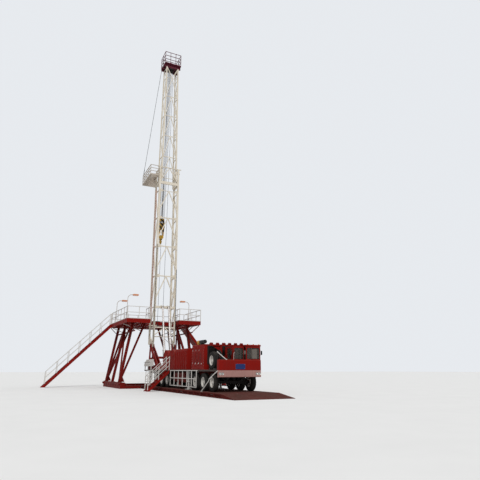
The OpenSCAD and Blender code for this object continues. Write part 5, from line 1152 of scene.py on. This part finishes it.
first, pitch, count = panelFacts["gaugeX"]
for k in range(count):
    r = 0.085 if k == 2 else 0.058
    spot = onPanel(first + k * pitch, 0.66)
    addLathe(bm, [(0.0, 0.01), (r * 0.9, 0.01), (r * 0.92, 0.0), (0.0, 0.0)], spot, way, 1, 24)
    addLathe(bm, [(r * 0.9, 0.004), (r * 0.9, 0.022), (r * 0.97, 0.026), (r * 1.05, 0.02), (r * 1.08, 0.0)],
             spot, way, 2, 24)
    a = 0.6 + k * 0.9
    across = Vector((1, 0, 0)) * math.cos(a) + way.cross(Vector((1, 0, 0))) * math.sin(a)
    addRod(bm, spot + way * 0.014 - across * r * 0.2, spot + way * 0.014 + across * r * 0.75, 0.0035, 0, 5)
first, pitch, count = panelFacts["leverX"]
for k in range(count):
    spot = onPanel(first + k * pitch, 0.22)
    addLathe(bm, [(0.022, 0.0), (0.026, 0.01), (0.018, 0.022), (0.0, 0.022)], spot, way, 0, 12)
    tip = spot + way * 0.13 + Vector((0, 0, 0.015 * (k % 3 - 1)))
    addRod(bm, spot, tip, 0.007, 2, 8)
    addLathe(bm, [(0.0, -0.018), (0.012, -0.014), (0.019, 0.0), (0.014, 0.014), (0.0, 0.019)],
             tip, way, 0, 12)
for x in (2.33, 3.25, 4.17):
    addBolts(bm, [onPanel(x, t) for t in (0.12, 0.5, 0.88)], way, 0.009, 0.007, 2)
for x in panelFacts["doorsX"]:  # rear doors of the cabinet
    addBlock(bm, (x, -1.244, 1.88), (x + 0.8, -1.232, 2.38), 3, 0.004)
    addLathe(bm, [(0.0, 0.022), (0.014, 0.02), (0.024, 0.012), (0.026, 0.0), (0.0, 0.0)],
             (x + 0.72, -1.233, 2.13), (0, 1, 0), 2, 12)
finishPiece("driller_gauges_and_levers", bm, "rig", "rubberBlack whitePaint bareSteel creamPaint")

# tanks, jacks, mud flaps and tail
tankFacts = {"fillersX": (10.62, 11.9), "gaugeX": 11.3, "boltsX": (10.39, 12.04), "jacksX": (12.9, 3.35),
             "jackY": 1.225, "jackRing": 0.098, "flapsX": (5.2, 13.86), "tail": (2.146, 1.5)}
bm = bmesh.new()
f = tankFacts
tailX, tailZ = f["tail"]
for side in (1, -1):
    for x in f["fillersX"]:  # fillers and drain plugs
        addLathe(bm, [(0.0, 0.055), (0.048, 0.052), (0.056, 0.044), (0.056, 0.02), (0.04, 0.018), (0.04, 0.0),
                      (0.0, 0.0)], (x, side * 1.33, 1.375), (0, side * 0.35, 1), 1, 18)
        addRod(bm, (x, side * 1.09, 0.7), (x, side * 1.09, 0.672), 0.028, 1, 6)
    x = f["gaugeX"]
    addRod(bm, (x, side * 1.408, 0.86), (x, side * 1.408, 1.24), 0.012, 1, 10)
    for z in (0.85, 1.23):
        addBlock(bm, (x - 0.03, side * 1.395, z), (x + 0.03, side * 1.425, z + 0.03), 1, 0.003)
    for x in f["boltsX"]:
        addBolts(bm, [(x, side * 1.42, z) for z in (0.78, 1.38)], (0, side, 0), 0.014, 0.014, 1)
    for x in f["jacksX"]:  # gland bolts, feed lines and base plates' bolts
        y, r = side * f["jackY"], f["jackRing"]
        addBolts(bm, [(x + r * math.cos(a), y + r * math.sin(a), 0.722)
                      for a in (math.tau * (k + 0.5) / 8 for k in range(8))], (0, 0, -1), 0.012, 0.012, 1)
        addPipe(bm, [(x + 0.112, y, 0.84), (x + 0.16, y, 0.86), (x + 0.17, y, 1.2),
                     (x + 0.17, y - side * 0.1, 1.47)], 0.012, 1, 8)
        addPipe(bm, [(x - 0.112, y, 1.32), (x - 0.16, y, 1.34), (x - 0.16, y - side * 0.1, 1.47)],
                0.012, 1, 8)
        addBolts(bm, [(x + dx, y + dy, 0.295) for dx in (-0.15, 0.15) for dy in (-0.15, 0.15)],
                 (0, 0, 1), 0.016, 0.014, 1)
    for x in f["flapsX"]:  # behind the wheel groups
        addBlock(bm, (x - 0.006, side * 0.98, 0.62), (x + 0.006, side * 1.42, 1.452), 2, 0.003)
        addBlock(bm, (x - 0.02, side * 0.96, 1.4), (x + 0.02, side * 1.44, 1.452), 1, 0.003)
    addLathe(bm, [(0.0, 0.03), (0.04, 0.026), (0.052, 0.01), (0.056, 0.0), (0.0, 0.0)],
             (tailX, side * 1.22, tailZ), (-1, 0, 0), 3, 20)
    addLathe(bm, [(0.0, 0.028), (0.034, 0.024), (0.044, 0.01), (0.046, 0.0), (0.0, 0.0)],
             (tailX, side * 1.07, tailZ), (-1, 0, 0), 0, 20)
finishPiece("tank_jack_and_tail_fittings", bm, "rig", "amberGlow darkSteel rubberBlack tailRed")

airFacts = {"x": (9.75, 13.35, 15.25), "y": 0.66, "z": 1.0}
bm = bmesh.new()  # air reservoirs with their straps and lines
for x in airFacts["x"]:
    for side in (1, -1):
        y, z = side * airFacts["y"], airFacts["z"]
        addLathe(bm, mirrored([(0.0, -0.27), (0.07, -0.265), (0.105, -0.235), (0.115, -0.2)]),
                 (x, y, z), (1, 0, 0), 0, 22)
        for dx in (-0.13, 0.13):
            addBlock(bm, (x + dx - 0.02, y - 0.121, z - 0.04), (x + dx + 0.02, y + 0.121, 1.2), 1, 0.004)
        addPipe(bm, [(x + 0.268, y, z), (x + 0.33, y, z + 0.02), (x + 0.34, y - side * 0.06, 1.28)],
                0.008, 1, 6)
finishPiece("air_reservoirs", bm, "rig", "blackPaint darkSteel")

# serrated treads on both stairs
stairFacts = ({"steps": 6, "rise": 1.55, "going": 1.75, "top": -1.45, "drop": 0.118, "x": (8.45, 9.15),
               "ribs": (-0.121, -0.07, -0.02, 0.03, 0.08, 0.117), "bolts": ((8.42, -1), (9.18, 1))},
              {"steps": 24, "rise": 5.95, "going": 5.95, "top": -3.55, "drop": 0.13, "x": (-4.35, -3.61),
               "ribs": (-0.116, -0.05, 0.02, 0.09), "bolts": ()})
bm = bmesh.new()
for f in stairFacts:
    for i in range(1, f["steps"]):
        z = f["rise"] * (1 - i / f["steps"]) - f["drop"]
        y = f["top"] - i * f["going"] / f["steps"]
        for d in f["ribs"]:
            addBlock(bm, (f["x"][0], y + d - 0.004, z - 0.004), (f["x"][1], y + d + 0.004, z + 0.01), 0, 0)
        for x, side in f["bolts"]:
            addBolts(bm, [(x + side * 0.02, y + d, z - 0.018) for d in (-0.07, 0.07)],
                     (side, 0, 0), 0.01, 0.008)
finishPiece("stair_treads", bm, "rig", "darkSteel")

matFacts = {"stripsX": (3.6, 4.75, 6.55, 7.92, 9.5, 11.2, 13.6, 15.25, 16.7, 18.35, 19.55), "half": 1.86,
            "rampX": 19.9, "rampLong": 1.75, "rampDrop": 0.225, "top": 0.245, "rampStrips": 7,
            "lugsX": (3.3, 8.3, 13.4, 18.6), "lugY": (1.895, 1.945)}
bm = bmesh.new()  # strips across the mat and its ramp, and lugs at its sides
f = matFacts
for x in f["stripsX"]:
    addBlock(bm, (x - 0.02, -f["half"], 0.242), (x + 0.02, f["half"], 0.2485), 0, 0.001)
slope = Matrix.Rotation(math.atan2(f["rampDrop"], f["rampLong"]), 4, "Y")
for k in range(f["rampStrips"]):
    t = (k + 0.5) / f["rampStrips"]
    place = Matrix.Translation((f["rampX"] + f["rampLong"] * t, 0, f["top"] - f["rampDrop"] * t))
    addBlock(bm, (-0.016, -f["half"], -0.004), (0.016, f["half"], 0.008), 0, 0.001, place @ slope)
for side in (1, -1):
    for x in f["lugsX"]:
        near, far = (side * y for y in f["lugY"])
        addPipe(bm, [(x - 0.09, near, 0.16), (x - 0.085, far, 0.165), (x + 0.085, far, 0.165),
                     (x + 0.09, near, 0.16)], 0.014, 1, 8)
finishPiece("mat_strips_and_lugs", bm, "rig", "matRed darkSteel")

# cylinders: gland rings, feed ports and clamped pipes
cylinderFacts = {"footX": 4.5, "footZ": 1.25, "y": 0.29, "rings": (0.3, 1.99), "clamps": (0.8, 1.4)}


def onCylinder(x, y, z):  # a point given along the cylinders from their feet to the mast's lugs
    f, lug = cylinderFacts, onMast(0.55, 0, 3.5)
    d = Vector((lug.x - f["footX"], 0, lug.z - f["footZ"])).normalized()
    side = Vector((d.z, 0, -d.x))
    return Vector((f["footX"], y, f["footZ"])) + d * z + side * x


bm = bmesh.new()
way = onCylinder(0, 0, 1) - onCylinder(0, 0, 0)
for side in (1, -1):
    y = side * cylinderFacts["y"]
    for at in cylinderFacts["rings"]:
        addLathe(bm, mirrored([(0.129, -0.035), (0.146, -0.03)]), onCylinder(0, y, at), way, 0, 28)
    addPipe(bm, [onCylinder(x, y, z) for x, z in ((0.13, 0.34), (0.165, 0.36), (0.165, 1.9), (0.13, 1.94))],
            0.014, 1, 8)
    for at in cylinderFacts["clamps"]:
        addLathe(bm, mirrored([(0.13, -0.012), (0.134, -0.012)]), onCylinder(0, y, at), way, 1, 28)
finishPiece("cylinder_pipes", bm, "barrels", "bareSteel darkSteel")

# floor lamps: lens faces, their frames and the boxes on the poles
floorLampFacts = {"poles": ((-2.2, -1), (2.2, -1), (-0.2, 1)), "y": 3.44, "head": (0.5, 0.93)}
bm = bmesh.new()
for x, side in floorLampFacts["poles"]:
    y = side * floorLampFacts["y"]
    y0, y1 = sorted(y - side * reach for reach in floorLampFacts["head"])
    addBlock(bm, (x - 0.085, y0, 8.07), (x + 0.085, y1, 8.09), 0, 0.006)
    for way in (-1, 1):
        addBlock(bm, (x + way * 0.098, y0 - 0.012, 8.068), (x + way * 0.085, y1 + 0.012, 8.086), 1, 0.003)
    addBlock(bm, (x - 0.05, y - 0.045, 6.35), (x + 0.05, y + 0.045, 6.52), 1, 0.008)
finishPiece("floor_lamp_lenses", bm, "rig", "lensGlass bareSteel")

handleFacts = {"place": (17.36, 1.452, 2.02),
               "bar": ((-0.07, 0.004), (-0.06, 0.036), (0.03, 0.036), (0.045, 0.004))}
bm = bmesh.new()  # handle and lock on the cab door
spot = Vector(handleFacts["place"])
addBlock(bm, spot + Vector((-0.09, -0.004, -0.035)), spot + Vector((0.06, 0.006, 0.035)), 0, 0.003)
addPipe(bm, [spot + Vector((dx, dy, 0)) for dx, dy in handleFacts["bar"]], 0.009, 0, 8)
addLathe(bm, [(0.0, 0.012), (0.01, 0.011), (0.013, 0.006), (0.013, 0.0), (0.0, 0.0)],
         spot + Vector((-0.03, 0.004, -0.06)), (0, 1, 0), 0, 12)
finishPiece("door_handle", bm, "door", "bareSteel")
print("running gear details made")

# floor and plain soft light
studio = {"floorColour": (0.8, 0.79, 0.77), "floorSize": 700.0, "floorRoughness": 0.9,
          "skyColour": (0.93, 0.96, 1.0), "skyStrength": 0.52, "skySeen": 0.86,
          "keyStrength": 2.15, "keyAngleDegrees": 14.0, "keyFrom": (0.68, -0.27, 0.68),
          "fillStrength": 0.45, "fillAngleDegrees": 60.0, "fillFrom": (0.1, 0.9, 0.4)}


def addStudio(s):
    bm = bmesh.new()
    bmesh.ops.create_grid(bm, x_segments=1, y_segments=1, size=s["floorSize"] / 2)
    mesh = bpy.data.meshes.new("studioFloor")
    bm.to_mesh(mesh)
    bm.free()
    floor = bpy.data.objects.new("studioFloor", mesh)
    scene.collection.objects.link(floor)
    finish = bpy.data.materials.new("studioFloor")
    finish.use_nodes = True
    tree = finish.node_tree
    shader = tree.nodes["Principled BSDF"]
    shader.inputs["Roughness"].default_value = s["floorRoughness"]
    tone = mapRange(tree, noiseNode(tree, objectPlace(tree), 0.5, 4), 0.3, 0.7, 0.97, 1.0)
    tree.links.new(blendColours(tree, 1.0, (*s["floorColour"], 1), tone, "MULTIPLY"),
                   shader.inputs["Base Color"])
    mesh.materials.append(finish)
    for name in ("key", "fill"):
        lamp = bpy.data.lights.new(name + "Light", "SUN")
        lamp.energy, lamp.angle = s[name + "Strength"], math.radians(s[name + "AngleDegrees"])
        holder = bpy.data.objects.new(name + "Light", lamp)
        holder.rotation_euler = Vector(s[name + "From"]).to_track_quat("Z", "Y").to_euler()
        scene.collection.objects.link(holder)
    world = bpy.data.worlds.new("studioSky")
    scene.world = world
    world.use_nodes = True
    tree = world.node_tree
    back = tree.nodes["Background"]
    path = tree.nodes.new("ShaderNodeLightPath")
    seen = calc(tree, "MAXIMUM", path.outputs["Is Camera Ray"], path.outputs["Is Transmission Ray"])
    back.inputs["Color"].default_value = (*s["skyColour"], 1)
    tree.links.new(mapRange(tree, seen, 0.0, 1.0, s["skyStrength"], s["skySeen"]), back.inputs["Strength"])


addStudio(studio)
scene.view_settings.view_transform = "Standard"
print("studio made")

bpy.context.view_layer.update()
